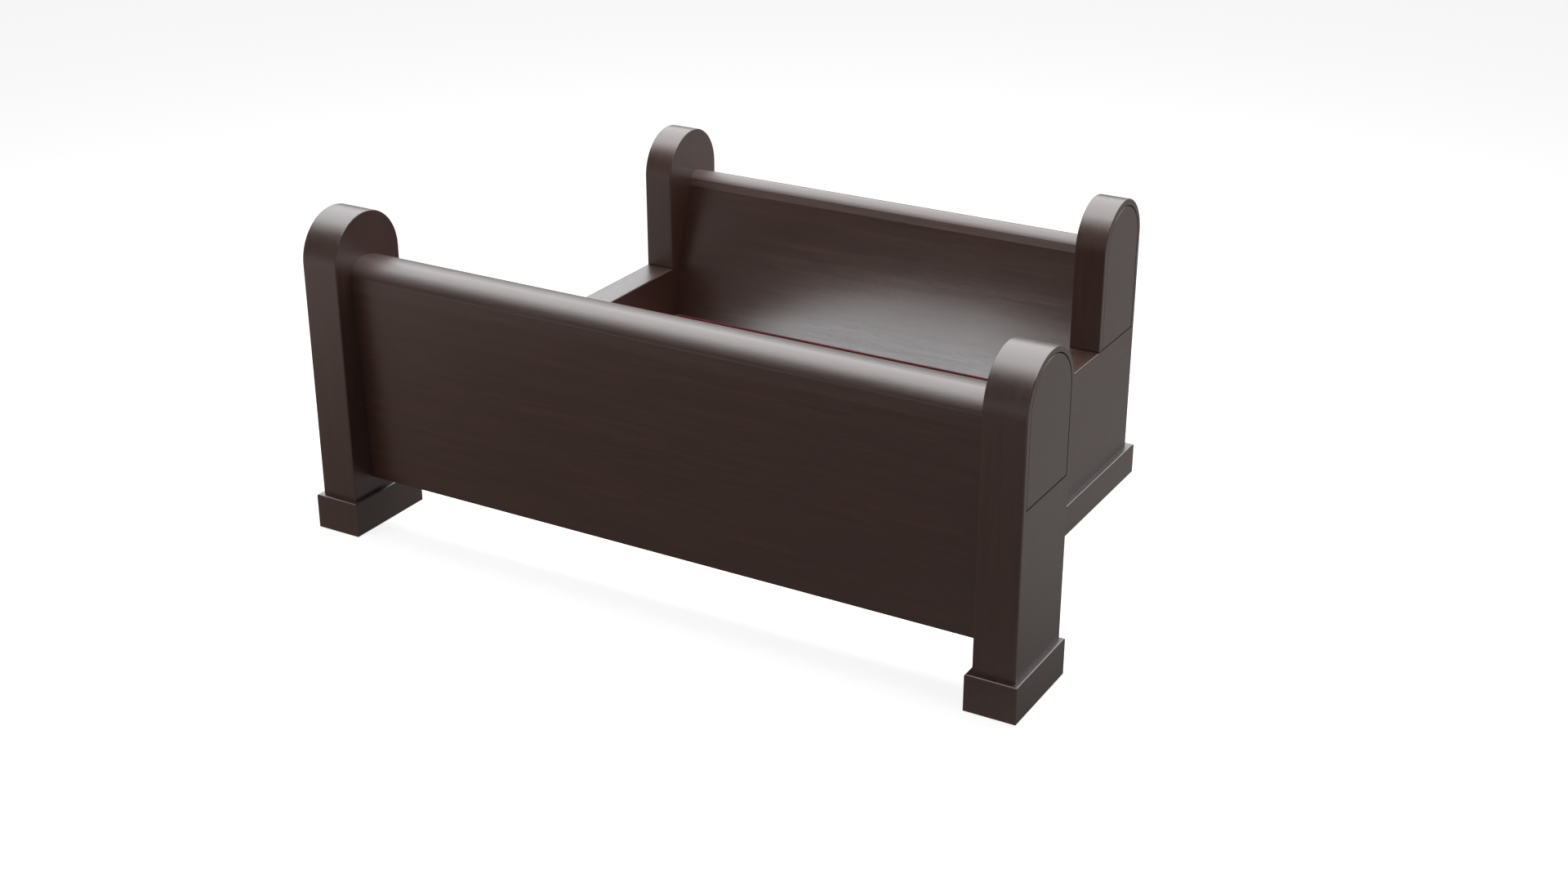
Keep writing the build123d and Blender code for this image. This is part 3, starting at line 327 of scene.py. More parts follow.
CRYSTALS = 420.0  # about 2.4 mm each
SCRATCH_SCALE = (900.0, 900.0, 140.0)  # fine scratches, longest upwards
CRYSTAL_SHADE = 0.35
SCRATCH_SHADE = 0.4


def wood_grain():
    """Figure, red streaks, fibres and pores of a board whose grain runs along X."""
    if "Wood Grain" in bpy.data.node_groups:
        return bpy.data.node_groups["Wood Grain"]
    inputs = {"Position": "Vector", "Figure Scale": "Vector", "Dark": "Color", "Middle": "Color",
              "Streak": "Color", "Streaks": "Float"}
    outputs = {"Color": "Color", "Height": "Float", "Satin": "Float"}
    tree, given, result = new_group("Wood Grain", inputs, outputs)
    place = given["Position"]
    scaled = vector(tree, "MULTIPLY", place, given["Figure Scale"])
    figure = noise(tree, scaled, detail=5.0, roughness=0.58, distortion=0.9)
    bands = ranged(tree, figure, *FIGURE_BAND, smooth=True)
    shifted = vector(tree, "ADD", vector(tree, "MULTIPLY", scaled, STREAK_SCALE), STREAK_SHIFT)
    streak = noise(tree, shifted, detail=4.0, roughness=0.6)
    streaks = ranged(tree, streak, *STREAK_BAND, smooth=True)
    fibre = noise(tree, vector(tree, "MULTIPLY", place, FIBRE_SCALE), detail=3.0, roughness=0.6)
    pore = noise(tree, vector(tree, "MULTIPLY", place, PORE_SCALE), detail=1.0)
    pores = ranged(tree, pore, *PORE_BAND)
    colour = mixed(tree, bands, given["Dark"], given["Middle"])
    red = calc(tree, "MULTIPLY", streaks, given["Streaks"])
    colour = mixed(tree, red, colour, given["Streak"])
    shade = calc(tree, "MULTIPLY_ADD", fibre, *FIBRE_SHADE)
    shade = calc(tree, "MULTIPLY", shade, calc(tree, "MULTIPLY_ADD", pores, PORE_SHADE, 1.0))
    grey = put(tree, "CombineColor", {0: shade, 1: shade, 2: shade}).outputs[0]
    tree.links.new(mixed(tree, 1.0, colour, grey, "MULTIPLY"), result["Color"])
    sunk = calc(tree, "MULTIPLY", pores, PORE_DEPTH)
    height = calc(tree, "MULTIPLY_ADD", fibre, FIBRE_SHARE, sunk)
    tree.links.new(calc(tree, "MULTIPLY_ADD", figure, FIGURE_RELIEF, height), result["Height"])
    rest = calc(tree, "MULTIPLY", figure, 1 - FIBRE_SHARE)
    tree.links.new(calc(tree, "MULTIPLY_ADD", fibre, FIBRE_SHARE, rest), result["Satin"])
    return tree


def edge_wear():
    """How near a point is to an edge of a squared board, whose top may be a half round."""
    if "Edge Wear" in bpy.data.node_groups:
        return bpy.data.node_groups["Edge Wear"]
    inputs = {"Position": "Vector", "Lower": "Vector", "Upper": "Vector",
              "Spring Height": "Float", "Width": "Float"}
    tree, given, result = new_group("Edge Wear", inputs, {"Wear": "Float"})
    place = given["Position"]
    middle = vector(tree, "MULTIPLY", vector(tree, "ADD", given["Lower"], given["Upper"]), HALF)
    half = vector(tree, "MULTIPLY", vector(tree, "SUBTRACT", given["Upper"], given["Lower"]), HALF)
    off = split(tree, vector(tree, "SUBTRACT", place, middle))
    half = split(tree, half)
    height = split(tree, place)[2]
    over = calc(tree, "MAXIMUM", calc(tree, "SUBTRACT", height, given["Spring Height"]), 0.0)
    squares = calc(tree, "MULTIPLY_ADD", off[1], off[1], calc(tree, "MULTIPLY", over, over))
    reach = calc(tree, "SQRT", squares)
    from_ends = calc(tree, "SUBTRACT", half[0], calc(tree, "ABSOLUTE", off[0]))
    from_rim = calc(tree, "SUBTRACT", half[1], reach)
    from_top = calc(tree, "SUBTRACT", half[2], calc(tree, "ABSOLUTE", off[2]))
    nearer = calc(tree, "MINIMUM", from_ends, from_rim)
    further = calc(tree, "MAXIMUM", from_ends, from_rim)
    edge = calc(tree, "MAXIMUM", nearer, calc(tree, "MINIMUM", further, from_top))
    rubbed = noise(tree, vector(tree, "MULTIPLY", place, RUB_SCALE), detail=4.0, roughness=0.65)
    width = calc(tree, "MULTIPLY", given["Width"], calc(tree, "MULTIPLY_ADD", rubbed, *RUB_WIDTH))
    near = calc(tree, "SUBTRACT", 1.0, calc(tree, "DIVIDE", edge, width), clamp=True)
    tree.links.new(calc(tree, "MULTIPLY", near, rubbed, clamp=True), result["Wear"])
    return tree


def upward_lean():
    """A surface normal that leans up more and more from the top of a face down to its foot."""
    if "Upward Lean" in bpy.data.node_groups:
        return bpy.data.node_groups["Upward Lean"]
    inputs = {"Position": "Vector", "Lower": "Vector", "Upper": "Vector",
              "Lean": "Float", "Nod": "Float"}
    tree, given, result = new_group("Upward Lean", inputs, {"Normal": "Vector"})
    normal = put(tree, "NewGeometry").outputs["Normal"]
    faces_front = calc(tree, "MULTIPLY", split(tree, normal)[1], -1.0, clamp=True)
    span = vector(tree, "SUBTRACT", given["Upper"], given["Lower"])
    from_lower = vector(tree, "SUBTRACT", given["Position"], given["Lower"])
    share = split(tree, vector(tree, "DIVIDE", from_lower, span))
    down = calc(tree, "SUBTRACT", 1.0, share[2], clamp=True)
    full = calc(tree, "MULTIPLY_ADD", share[2], GLOW_SLANT, GLOW_FULL)
    rising = ranged(tree, share[0], GLOW_START, full, smooth=True)
    fading = ranged(tree, share[0], GLOW_FADE, 1.0, 1.0, GLOW_AT_END, smooth=True)
    along = calc(tree, "MULTIPLY", rising, fading)
    up = calc(tree, "MULTIPLY", calc(tree, "MULTIPLY", down, along), given["Lean"])
    over = calc(tree, "MULTIPLY", calc(tree, "SUBTRACT", 1.0, down), given["Nod"])
    lean = calc(tree, "MULTIPLY", calc(tree, "SUBTRACT", up, over), faces_front)
    tilt = put(tree, "CombineXYZ", {2: lean}).outputs[0]
    leaned = vector(tree, "NORMALIZE", vector(tree, "ADD", normal, tilt))
    tree.links.new(leaned, result["Normal"])
    return tree


def eased_roll():
    """A surface normal that turns up on the front of a roll, and stays as it is on the face below.

    The rake is how far that face looks up.
    """
    if "Eased Roll" in bpy.data.node_groups:
        return bpy.data.node_groups["Eased Roll"]
    inputs = {"Ease": "Float", "Rake": "Float"}
    tree, given, result = new_group("Eased Roll", inputs, {"Normal": "Vector"})
    normal = put(tree, "NewGeometry").outputs["Normal"]
    faces = split(tree, normal)
    front = calc(tree, "MULTIPLY", faces[1], -1.0, clamp=True)
    front = calc(tree, "POWER", front, ROLL_POWER)
    above_face = calc(tree, "SUBTRACT", faces[2], given["Rake"])
    rolled = calc(tree, "MULTIPLY", front, ranged(tree, above_face, *ROLL_BAND, smooth=True))
    tilt = put(tree, "CombineXYZ", {2: calc(tree, "MULTIPLY", rolled, given["Ease"])}).outputs[0]
    tree.links.new(vector(tree, "NORMALIZE", vector(tree, "ADD", normal, tilt)), result["Normal"])
    return tree


def plain_weave():
    """Over-and-under yarns along the two directions of a piece's own map, in metres."""
    if "Plain Weave" in bpy.data.node_groups:
        return bpy.data.node_groups["Plain Weave"]
    outputs = {"Height": "Float", "Fade": "Float"}
    tree, given, result = new_group("Plain Weave", {"Map": "Vector", "Pitch": "Float"}, outputs)
    sides = split(tree, given["Map"])[:2]
    halves = [calc(tree, "MULTIPLY", side, math.pi) for side in sides]
    waves = [calc(tree, "SINE", calc(tree, "DIVIDE", half, given["Pitch"])) for half in halves]
    yarns = [calc(tree, "ABSOLUTE", wave) for wave in waves]
    over = calc(tree, "GREATER_THAN", calc(tree, "MULTIPLY", waves[0], waves[1]), 0.0)
    weft = calc(tree, "MULTIPLY", yarns[1], calc(tree, "SUBTRACT", 1.0, over))
    warp = calc(tree, "MULTIPLY", yarns[0], over)
    slub = noise(tree, vector(tree, "MULTIPLY", given["Map"], SLUB_SCALE), detail=2.0)
    height = calc(tree, "MULTIPLY_ADD", slub, SLUB_SHARE, calc(tree, "ADD", weft, warp))
    tree.links.new(height, result["Height"])
    patches = vector(tree, "MULTIPLY", given["Map"], CLOTH_RUB_SCALE)
    rub = noise(tree, patches, detail=3.0, roughness=0.6)
    fade = calc(tree, "MULTIPLY", height, ranged(tree, rub, *CLOTH_RUB_BAND), clamp=True)
    tree.links.new(fade, result["Fade"])
    return tree


def zinc_spangle():
    """The crystals and fine scratches of a zinc plating."""
    if "Zinc Spangle" in bpy.data.node_groups:
        return bpy.data.node_groups["Zinc Spangle"]
    outputs = {"Shade": "Float", "Height": "Float"}
    tree, given, result = new_group("Zinc Spangle", {"Position": "Vector"}, outputs)
    cells = put(tree, "TexVoronoi", {"Vector": given["Position"], "Scale": CRYSTALS})
    crystal = put(tree, "SeparateColor", {0: cells.outputs["Color"]}).outputs[0]
    drawn = vector(tree, "MULTIPLY", given["Position"], SCRATCH_SCALE)
    scratches = noise(tree, drawn, detail=3.0)
    scratched = calc(tree, "MULTIPLY", scratches, SCRATCH_SHADE)
    shade = calc(tree, "MULTIPLY_ADD", crystal, CRYSTAL_SHADE, scratched)
    tree.links.new(shade, result["Shade"])
    tree.links.new(scratches, result["Height"])
    return tree


GROUPS = {
    "Wood Grain": wood_grain,
    "Edge Wear": edge_wear,
    "Upward Lean": upward_lean,
    "Eased Roll": eased_roll,
    "Plain Weave": plain_weave,
    "Zinc Spangle": zinc_spangle,
}


# ---------------------------------------------------------------- materials
SATIN_BAND = (0.3, 0.7)  # the wood's satin where the roughness is least, and where it is most
VARNISHED_STREAKS = 0.55  # how much of the red streaks shows through the varnish
BARE_STREAKS = 0.5
BARE_FIGURE = (1.6, 70.0, 70.0)  # bands of the bare timber for each metre along and across it
TIMBER_SPREAD = (-0.08, 0.1)  # how far its grain moves the roughness down and up
ZINC_DARK = (0.42, 0.42, 0.43, 1.0)
ZINC_BRIGHT = (0.68, 0.69, 0.71, 1.0)
ZINC_SHADES = (0.0, 0.8)
ZINC_ROUGHNESS = (0.28, 0.5)  # at the darkest shade, and at the brightest
YARN_HEIGHTS = (0.0, 1.4)
CLOTH_ROUGHNESS = (0.95, 0.78)  # between the yarns, and on their tops
SHEEN_TINT = (0.72, 0.42, 0.44, 1.0)
CLOTH_MAP = "cloth"


def new_material(name):
    """An empty material and its node tree."""
    material = bpy.data.materials.new(name)
    material.use_nodes = True
    material.node_tree.nodes.clear()
    return material, material.node_tree


def principled(tree):
    """The inputs of a Principled shader that is the material's surface."""
    shader = put(tree, "BsdfPrincipled")
    tree.links.new(shader.outputs[0], put(tree, "OutputMaterial").inputs[0])
    return shader.inputs


def own_place(tree):
    """The place of a point in the object's own coordinates."""
    return put(tree, "TexCoord").outputs["Object"]


def bumped(tree, height, strength, depth):
    """A bump node for this height, its full depth in metres."""
    return put(tree, "Bump", {"Strength": strength, "Distance": depth, "Height": height})


def board_place(tree, place, node, along):
    """The place along and across one board, shifted so that each board has its own pattern."""
    number = sorted(frame["nodes"]).index(node)
    turn = {0: place, "Location": GRAIN_SHIFT * number, "Rotation": ALONG[along]}
    return put(tree, "Mapping", turn).outputs[0]


def opaque(colour):
    """A colour property with its alpha."""
    return (*colour, 1.0)


def paint(node, material):
    """Gives a frame node this material in every slot."""
    for slot in frame["nodes"][node].material_slots:
        slot.material = material


def varnished(node, along, arched=False, leaning=False, rake=None):
    """Stained and varnished mahogany for one frame node, with the grain along an axis.

    An arched node has a half-round top, a leaning one is shaded as if it turned up at its foot,
    and one with a rake is a cap whose roll is eased above a face of that rake.
    """
    wood = bpy.context.scene.pew_wood
    material, tree = new_material(f"mahogany_{node}")
    shader = principled(tree)
    place = own_place(tree)
    figure = (1 / wood.figure_length, 1 / wood.figure_width, 1 / wood.figure_width)
    grain = grouped(tree, "Wood Grain", Position=board_place(tree, place, node, along),
                    Figure_Scale=figure, Dark=opaque(wood.dark), Middle=opaque(wood.middle),
                    Streak=opaque(wood.streak), Streaks=VARNISHED_STREAKS)
    lower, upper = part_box(node)
    spring = upper.z + ABOVE_ALL
    if arched:
        spring = upper.z - (upper.y - lower.y) / 2
        upper = upper + Vector((0, 0, ABOVE_ALL))
    wear = grouped(tree, "Edge Wear", Position=place, Lower=lower, Upper=upper,
                   Spring_Height=spring, Width=wood.wear_width)["Wear"]
    rubbed = calc(tree, "MULTIPLY", wear, wood.wear)
    tree.links.new(mixed(tree, rubbed, grain["Color"], opaque(wood.worn)), shader["Base Color"])
    middle = wood.roughness + (0.0 if rake is None else wood.cap_duller)
    low = middle - wood.roughness_spread / 2
    high = low + wood.roughness_spread
    tree.links.new(ranged(tree, grain["Satin"], *SATIN_BAND, low, high), shader["Roughness"])
    shader["IOR"].default_value = wood.refraction
    shader["Specular IOR Level"].default_value = wood.gloss
    bump = bumped(tree, grain["Height"], strength=0.5, depth=0.0002)
    if leaning:
        foot = Vector((lower.x, lower.y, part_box(SEAT_PAD)[1].z))
        leaned = grouped(tree, "Upward Lean", Position=place, Lower=foot, Upper=upper,
                         Lean=wood.back_lean, Nod=wood.back_nod)["Normal"]
        tree.links.new(leaned, bump.inputs["Normal"])
    if rake is not None:
        eased = grouped(tree, "Eased Roll", Ease=wood.cap_ease, Rake=rake)["Normal"]
        tree.links.new(eased, bump.inputs["Normal"])
    tree.links.new(bump.outputs[0], shader["Normal"])
    paint(node, material)


def bare_timber(node):
    """Planed timber with no finish, the grain along the node's longest side."""
    timber = bpy.context.scene.pew_timber
    material, tree = new_material(f"timber_{node}")
    shader = principled(tree)
    lower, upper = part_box(node)
    sides = upper - lower
    along = "XYZ"[list(sides).index(max(sides))]
    grain = grouped(tree, "Wood Grain", Position=board_place(tree, own_place(tree), node, along),
                    Figure_Scale=BARE_FIGURE, Dark=opaque(timber.dark),
                    Middle=opaque(timber.middle), Streak=opaque(timber.dark), Streaks=BARE_STREAKS)
    tree.links.new(grain["Color"], shader["Base Color"])
    low, high = (timber.roughness + step for step in TIMBER_SPREAD)
    tree.links.new(ranged(tree, grain["Satin"], *SATIN_BAND, low, high), shader["Roughness"])
    bump = bumped(tree, grain["Height"], strength=0.7, depth=0.0003)
    tree.links.new(bump.outputs[0], shader["Normal"])
    paint(node, material)


def zinc():
    """Zinc-plated steel."""
    material, tree = new_material("zinc_plate")
    shader = principled(tree)
    spangle = grouped(tree, "Zinc Spangle", Position=own_place(tree))
    tree.links.new(mixed(tree, spangle["Shade"], ZINC_DARK, ZINC_BRIGHT), shader["Base Color"])
    dull = ranged(tree, spangle["Shade"], *ZINC_SHADES, *ZINC_ROUGHNESS)
    tree.links.new(dull, shader["Roughness"])
    shader["Metallic"].default_value = 1.0
    bump = bumped(tree, spangle["Height"], strength=0.4, depth=0.0001)
    tree.links.new(bump.outputs[0], shader["Normal"])
    return material


def upholstery():
    """Woven burgundy cloth that follows the map of the piece it covers."""
    if "burgundy_cloth" in bpy.data.materials:
        return bpy.data.materials["burgundy_cloth"]
    seat = bpy.context.scene.pew_seat
    material, tree = new_material("burgundy_cloth")
    shader = principled(tree)
    cloth_map = put(tree, "UVMap", uv_map=CLOTH_MAP).outputs[0]
    weave = grouped(tree, "Plain Weave", Map=cloth_map, Pitch=seat.yarn)
    colour = mixed(tree, weave["Fade"], opaque(seat.colour), opaque(seat.faded))
    tree.links.new(colour, shader["Base Color"])
    dull = ranged(tree, weave["Height"], *YARN_HEIGHTS, *CLOTH_ROUGHNESS)
    tree.links.new(dull, shader["Roughness"])
    shader["Sheen Weight"].default_value = 0.35
    shader["Sheen Roughness"].default_value = 0.45
    shader["Sheen Tint"].default_value = SHEEN_TINT
    shader["Specular IOR Level"].default_value = 0.25
    bump = bumped(tree, weave["Height"], strength=0.6, depth=0.0005)
    tree.links.new(bump.outputs[0], shader["Normal"])
    return material


# ---------------------------------------------------------------- upholstered seat
HELD = "held"
RIM_HELD = 0.55  # how much of the rounded rim the seam holds, as a share of the edge's radius
BASE_HELD = 0.6  # how far up the sides the glue on the board holds, as a share of it
SEAM_INSET = 0.3  # how far in from the pad's side the seam runs, as a share of it
SEAM_CORNER = 0.014  # radius of the seam's corners, in metres


def finished(name, mesh, material):
    """A piece made of this mesh, riding on the frame, with its material and slot."""
    piece = bpy.data.objects.new(name, mesh)
    bpy.context.scene.collection.objects.link(piece)
    mesh.materials.clear()
    mesh.materials.append(material)
    for face in mesh.polygons:
        face.use_smooth = True
    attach(piece, WORLD_BODY)
    return piece


def baked_mesh(piece, name):
    """The mesh of a piece with its modifiers applied."""
    bpy.context.view_layer.update()
    graph = bpy.context.evaluated_depsgraph_get()
    mesh = bpy.data.meshes.new_from_object(piece.evaluated_get(graph))
    mesh.name = name
    return mesh


class PadSpace:
    """The sloping space that the seat pad fills, read from the frame."""

    def __init__(self, seat):
        self.lower, self.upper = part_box(SEAT_PAD)
        self.rise = seat.rise
        self.depth = self.upper.y - self.lower.y
        self.thickness = self.upper.z - self.lower.z - self.rise * self.depth
        self.ease = seat.ease

    def middle(self):
        """The centre of the space."""
        return (self.lower + self.upper) / 2

    def slope(self):
        """Lays a level shape at the seat's slope, and puts it in its place."""
        shear = Matrix.Identity(4)
        shear[2][1] = -self.rise
        return Matrix.Translation(self.middle()) @ shear

    def top(self, y):
        """Height of the space's top at this depth."""
        return self.upper.z - self.rise * (y - self.lower.y)


def foam_block(space, seat):
    """The pad before it is filled: a sloping block with rounded edges, open nowhere."""
    block = bmesh.new()
    bmesh.ops.create_cube(block, size=1.0)
    size = (space.upper.x - space.lower.x - 2 * space.ease, space.depth - 2 * space.ease,
            space.thickness - space.ease)
    bmesh.ops.scale(block, vec=size, verts=block.verts)
    bmesh.ops.bevel(block, geom=block.edges[:], offset=seat.edge_round, segments=4, profile=0.5,
                    affect="EDGES", material=-1)
    bmesh.ops.translate(block, vec=(0, 0, -space.ease / 2), verts=block.verts)
    bmesh.ops.transform(block, matrix=space.slope(), verts=block.verts)
    mesh = bpy.data.meshes.new("foam_block")
    block.to_mesh(mesh)
    block.free()
    return mesh


def held_still(space, point, edge_round):
    """True for the cloth that is glued to the board or sewn into a seam."""
    above_base = point.z - (space.top(point.y) - space.thickness)
    below_top = space.top(point.y) - point.z
    from_end = min(point.x - space.lower.x, space.upper.x - point.x) - space.ease
    from_side = min(point.y - space.lower.y, space.upper.y - point.y) - space.ease
    rim = edge_round * RIM_HELD
    at_rim = min(from_end, from_side) < rim and below_top - space.ease < rim
    return above_base < edge_round * BASE_HELD or at_rim


def filled(piece, space, seat):
    """Swells the cloth by its filling, and holds each point within its reach."""
    start = [point.co.copy() for point in piece.data.vertices]
    group = piece.vertex_groups.new(name=HELD)
    held = [n for n, co in enumerate(start) if held_still(space, co, seat.edge_round)]
    group.add(held, 1.0, "REPLACE")
    cloth = piece.modifiers.new("cloth", "CLOTH")
    cloth.settings.use_pressure = True
    cloth.settings.uniform_pressure_force = seat.pressure
    cloth.settings.effector_weights.gravity = 0.0
    cloth.settings.vertex_group_mass = HELD
    cloth.settings.quality = 6
    cloth.settings.tension_stiffness = 20.0
    cloth.settings.compression_stiffness = 20.0
    cloth.settings.bending_stiffness = 4.0
    cloth.point_cache.frame_start = 1
    cloth.point_cache.frame_end = seat.frames
    scene = bpy.context.scene
    for step in range(1, seat.frames + 1):
        scene.frame_set(step)
    swollen = baked_mesh(piece, "swollen_pad")
    piece.modifiers.remove(cloth)
    scene.frame_set(1)
    for old, new in zip(start, swollen.vertices):
        move = new.co - old
        if move.length > 0:
            new.co = old + move.normalized() * seat.swell * math.tanh(move.length / seat.swell)
    return swollen


def map_cloth(mesh, space):
    """Lays the cloth's map over the pad, along its length and across it, and down its sides."""
    layer = mesh.uv_layers.new(name=CLOTH_MAP)
    for face in mesh.polygons:
        normal = face.normal
        for corner in face.loop_indices:
            point = mesh.vertices[mesh.loops[corner].vertex_index].co
            down = space.top(point.y) - point.z
            if abs(normal.x) > max(abs(normal.y), abs(normal.z)):
                layer.data[corner].uv = (point.x + math.copysign(down, normal.x), point.y)
            elif abs(normal.y) > abs(normal.z):
                layer.data[corner].uv = (point.x, point.y + math.copysign(down, normal.y))
            else:
                layer.data[corner].uv = (point.x, point.y)


def seam_loop(space, height, inset):
    """The line of a sewn seam round the pad, at this height below its top, with rounded corners."""
    ring = bmesh.new()
    bmesh.ops.create_grid(ring, x_segments=1, y_segments=1, size=0.5)
    size = (space.upper.x - space.lower.x - 2 * inset, space.depth - 2 * inset, 1.0)
    bmesh.ops.scale(ring, vec=size, verts=ring.verts)
    bmesh.ops.bevel(ring, geom=ring.verts[:], offset=SEAM_CORNER, segments=6, profile=0.5,
                    affect="VERTICES", material=-1)
    bmesh.ops.translate(ring, vec=(0, 0, space.thickness / 2 - height), verts=ring.verts)
    bmesh.ops.transform(ring, matrix=space.slope(), verts=ring.verts)
    ring.faces.ensure_lookup_table()
    points = [corner.vert.co.copy() for corner in ring.faces[0].loops]
    ring.free()
    return points


def piping_mesh(points, radius, name):
    """A covered cord laid round a closed line of points."""
    curve = bpy.data.curves.new(name, "CURVE")
    curve.dimensions = "3D"
    curve.bevel_depth = radius
    curve.bevel_resolution = 3
    spline = curve.splines.new("POLY")
    spline.points.add(len(points) - 1)
    for knot, point in zip(spline.points, points):
        knot.co = (*point, 1.0)
    spline.use_cyclic_u = True
    holder = bpy.data.objects.new(name, curve)
    bpy.context.scene.collection.objects.link(holder)
    mesh = baked_mesh(holder, name)
    bpy.data.objects.remove(holder)
    bpy.data.curves.remove(curve)
    return mesh


# ---------------------------------------------------------------- operators
class PEW_OT_screen_posts(bpy.types.Operator):
    """Finish the screen's round-topped posts and the arched plates let into them"""

    bl_idname = "pew.screen_posts"
    bl_label = "Screen Posts"

    def execute(self, context):
        for node in SCREEN_POSTS + SCREEN_PLATES:
            varnished(node, "Z", arched=True)
        return {"FINISHED"}


class PEW_OT_pew_posts(bpy.types.Operator):
    """Finish the pew's round-topped back posts and the arched plates let into them"""

    bl_idname = "pew.pew_posts"
    bl_label = "Pew Posts"

    def execute(self, context):
        for node in PEW_POSTS + PEW_PLATES:
            varnished(node, "Z", arched=True)
        return {"FINISHED"}


class PEW_OT_feet(bpy.types.Operator):
    """Finish the screen's foot blocks and the pew's plinths"""

    bl_idname = "pew.feet"
    bl_label = "Feet"

    def execute(self, context):
        for node in SCREEN_FEET + PEW_FEET:
            varnished(node, "Y")
        return {"FINISHED"}


class PEW_OT_arm_panels(bpy.types.Operator):
    """Finish the low arm panels at the pew's two ends"""

    bl_idname = "pew.arm_panels"
    bl_label = "Arm Panels"

    def execute(self, context):
        for node in PEW_ENDS:
            varnished(node, "Y")
        return {"FINISHED"}


class PEW_OT_screen_panel(bpy.types.Operator):
    """Finish the screen's two faces and its bottom rail"""

    bl_idname = "pew.screen_panel"
    bl_label = "Screen Panel"

    def execute(self, context):
        for node in SCREEN_PANEL:
            varnished(node, "X")
        return {"FINISHED"}


class PEW_OT_cap_rails(bpy.types.Operator):
    """Finish the rolled cap rails of the screen and of the pew's back"""

    bl_idname = "pew.cap_rails"
    bl_label = "Cap Rails"

    def execute(self, context):
        for node, rake in CAP_RAILS.items():
            varnished(node, "X", rake=rake)
        return {"FINISHED"}


class PEW_OT_back_panel(bpy.types.Operator):
    """Finish the pew's raked and curved back"""

    bl_idname = "pew.back_panel"
    bl_label = "Back Panel"

    def execute(self, context):
        varnished(BACK_PANEL, "X", leaning=True)
        return {"FINISHED"}


class PEW_OT_seat_rails(bpy.types.Operator):
    """Finish the apron and the back rail under the seat"""

    bl_idname = "pew.seat_rails"
    bl_label = "Seat Rails"

    def execute(self, context):
        for node in SEAT_RAILS:
            varnished(node, "X")
        return {"FINISHED"}


class PEW_OT_inner_timber(bpy.types.Operator):
    """Give the seat board, bearers, cleats, studs and dowels their bare timber"""

    bl_idname = "pew.inner_timber"
    bl_label = "Inner Timber"

    def execute(self, context):
        for node in nodes_in_slot("plain_timber"):
            bare_timber(node)
        return {"FINISHED"}


class PEW_OT_fittings(bpy.types.Operator):
    """Plate the bolts, rods, nuts, washers and screws with zinc"""

    bl_idname = "pew.fittings"
    bl_label = "Fittings"

    def execute(self, context):
        plate = zinc()
        for node in nodes_in_slot("zinc_steel"):
            paint(node, plate)
        return {"FINISHED"}


class PEW_OT_seat_pad(bpy.types.Operator):
    """Upholster the seat: a filled pad of burgundy cloth, sewn round its rim"""

    bl_idname = "pew.seat_pad"
    bl_label = "Seat Pad"

    def execute(self, context):
        seat = context.scene.pew_seat
        space = PadSpace(seat)
        block = bpy.data.objects.new("foam_block", foam_block(space, seat))
        context.scene.collection.objects.link(block)
        remesh = block.modifiers.new("cells", "REMESH")
        remesh.mode = "VOXEL"
        remesh.voxel_size = seat.voxel
        cells = bpy.data.objects.new("cells", baked_mesh(block, "cells"))
        context.scene.collection.objects.link(cells)
        bpy.data.objects.remove(block)
        mesh = filled(cells, space, seat)
        bpy.data.objects.remove(cells)
        smoother = bpy.data.objects.new("smoother", mesh)
        context.scene.collection.objects.link(smoother)
        finer = smoother.modifiers.new("finer", "SUBSURF")
        finer.levels = finer.render_levels = 1
        final = baked_mesh(smoother, "seat_cushion")
        bpy.data.objects.remove(smoother)
        map_cloth(final, space)
        pad = finished("seat_cushion", final, upholstery())
        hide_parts(SEAT_PAD)
        return {"FINISHED"}


class PEW_OT_seat_piping(bpy.types.Operator):
    """Sew a covered cord into the seam round the seat's rim"""

    bl_idname = "pew.seat_piping"
    bl_label = "Seat Piping"

    def execute(self, context):
        seat = context.scene.pew_seat
        space = PadSpace(seat)
        inset = space.ease + seat.edge_round * SEAM_INSET
        points = seam_loop(space, space.ease, inset)
        if not points:
            raise RuntimeError("the seam has no points")
        mesh = piping_mesh(points, seat.piping, "seat_piping")
        map_cloth(mesh, space)
        finished("seat_piping", mesh, upholstery())
        return {"FINISHED"}


class PEW_OT_studio(bpy.types.Operator):
    """Set up the pale floor, the soft lamps, the even room light and the camera"""

    bl_idname = "pew.studio"
    bl_label = "Studio"

    def execute(self, context):
        studio = context.scene.pew_studio
        scene = context.scene
        lay_floor(studio)
        light_room(studio)
        for lamp in LAMPS:
            hang_lamp(*lamp)
        camera = bpy.data.objects.new("camera", bpy.data.cameras.new("camera"))
        camera.data.lens = studio.lens
        camera.data.sensor_width = SENSOR_WIDTH
        camera.location = studio.camera_place
        camera.rotation_euler = (math.pi / 2 - studio.camera_down, 0, studio.camera_round)
        scene.collection.objects.link(camera)
        scene.camera = camera
        scene.view_settings.view_transform = "Standard"
        return {"FINISHED"}


SENSOR_WIDTH = 36.0  # mm
MIRRORED_COLOUR = (0.95, 0.972, 1.0)
FILL_COLOUR = (1.0, 1.0, 1.0)
FLOOR_GLOW = 0.84  # what the floor adds to its lit colour, to the camera alone
CAST_CENTRE = (-0.1, -2.2, 0.0)  # the floor throws back least round here, in front of the screen
CAST_REACH = (1.2, 3.2)  # metres from there to where it starts to brighten, and to its brightest
CAST_STRENGTH = (0.12, 0.40)  # what it throws back at the two

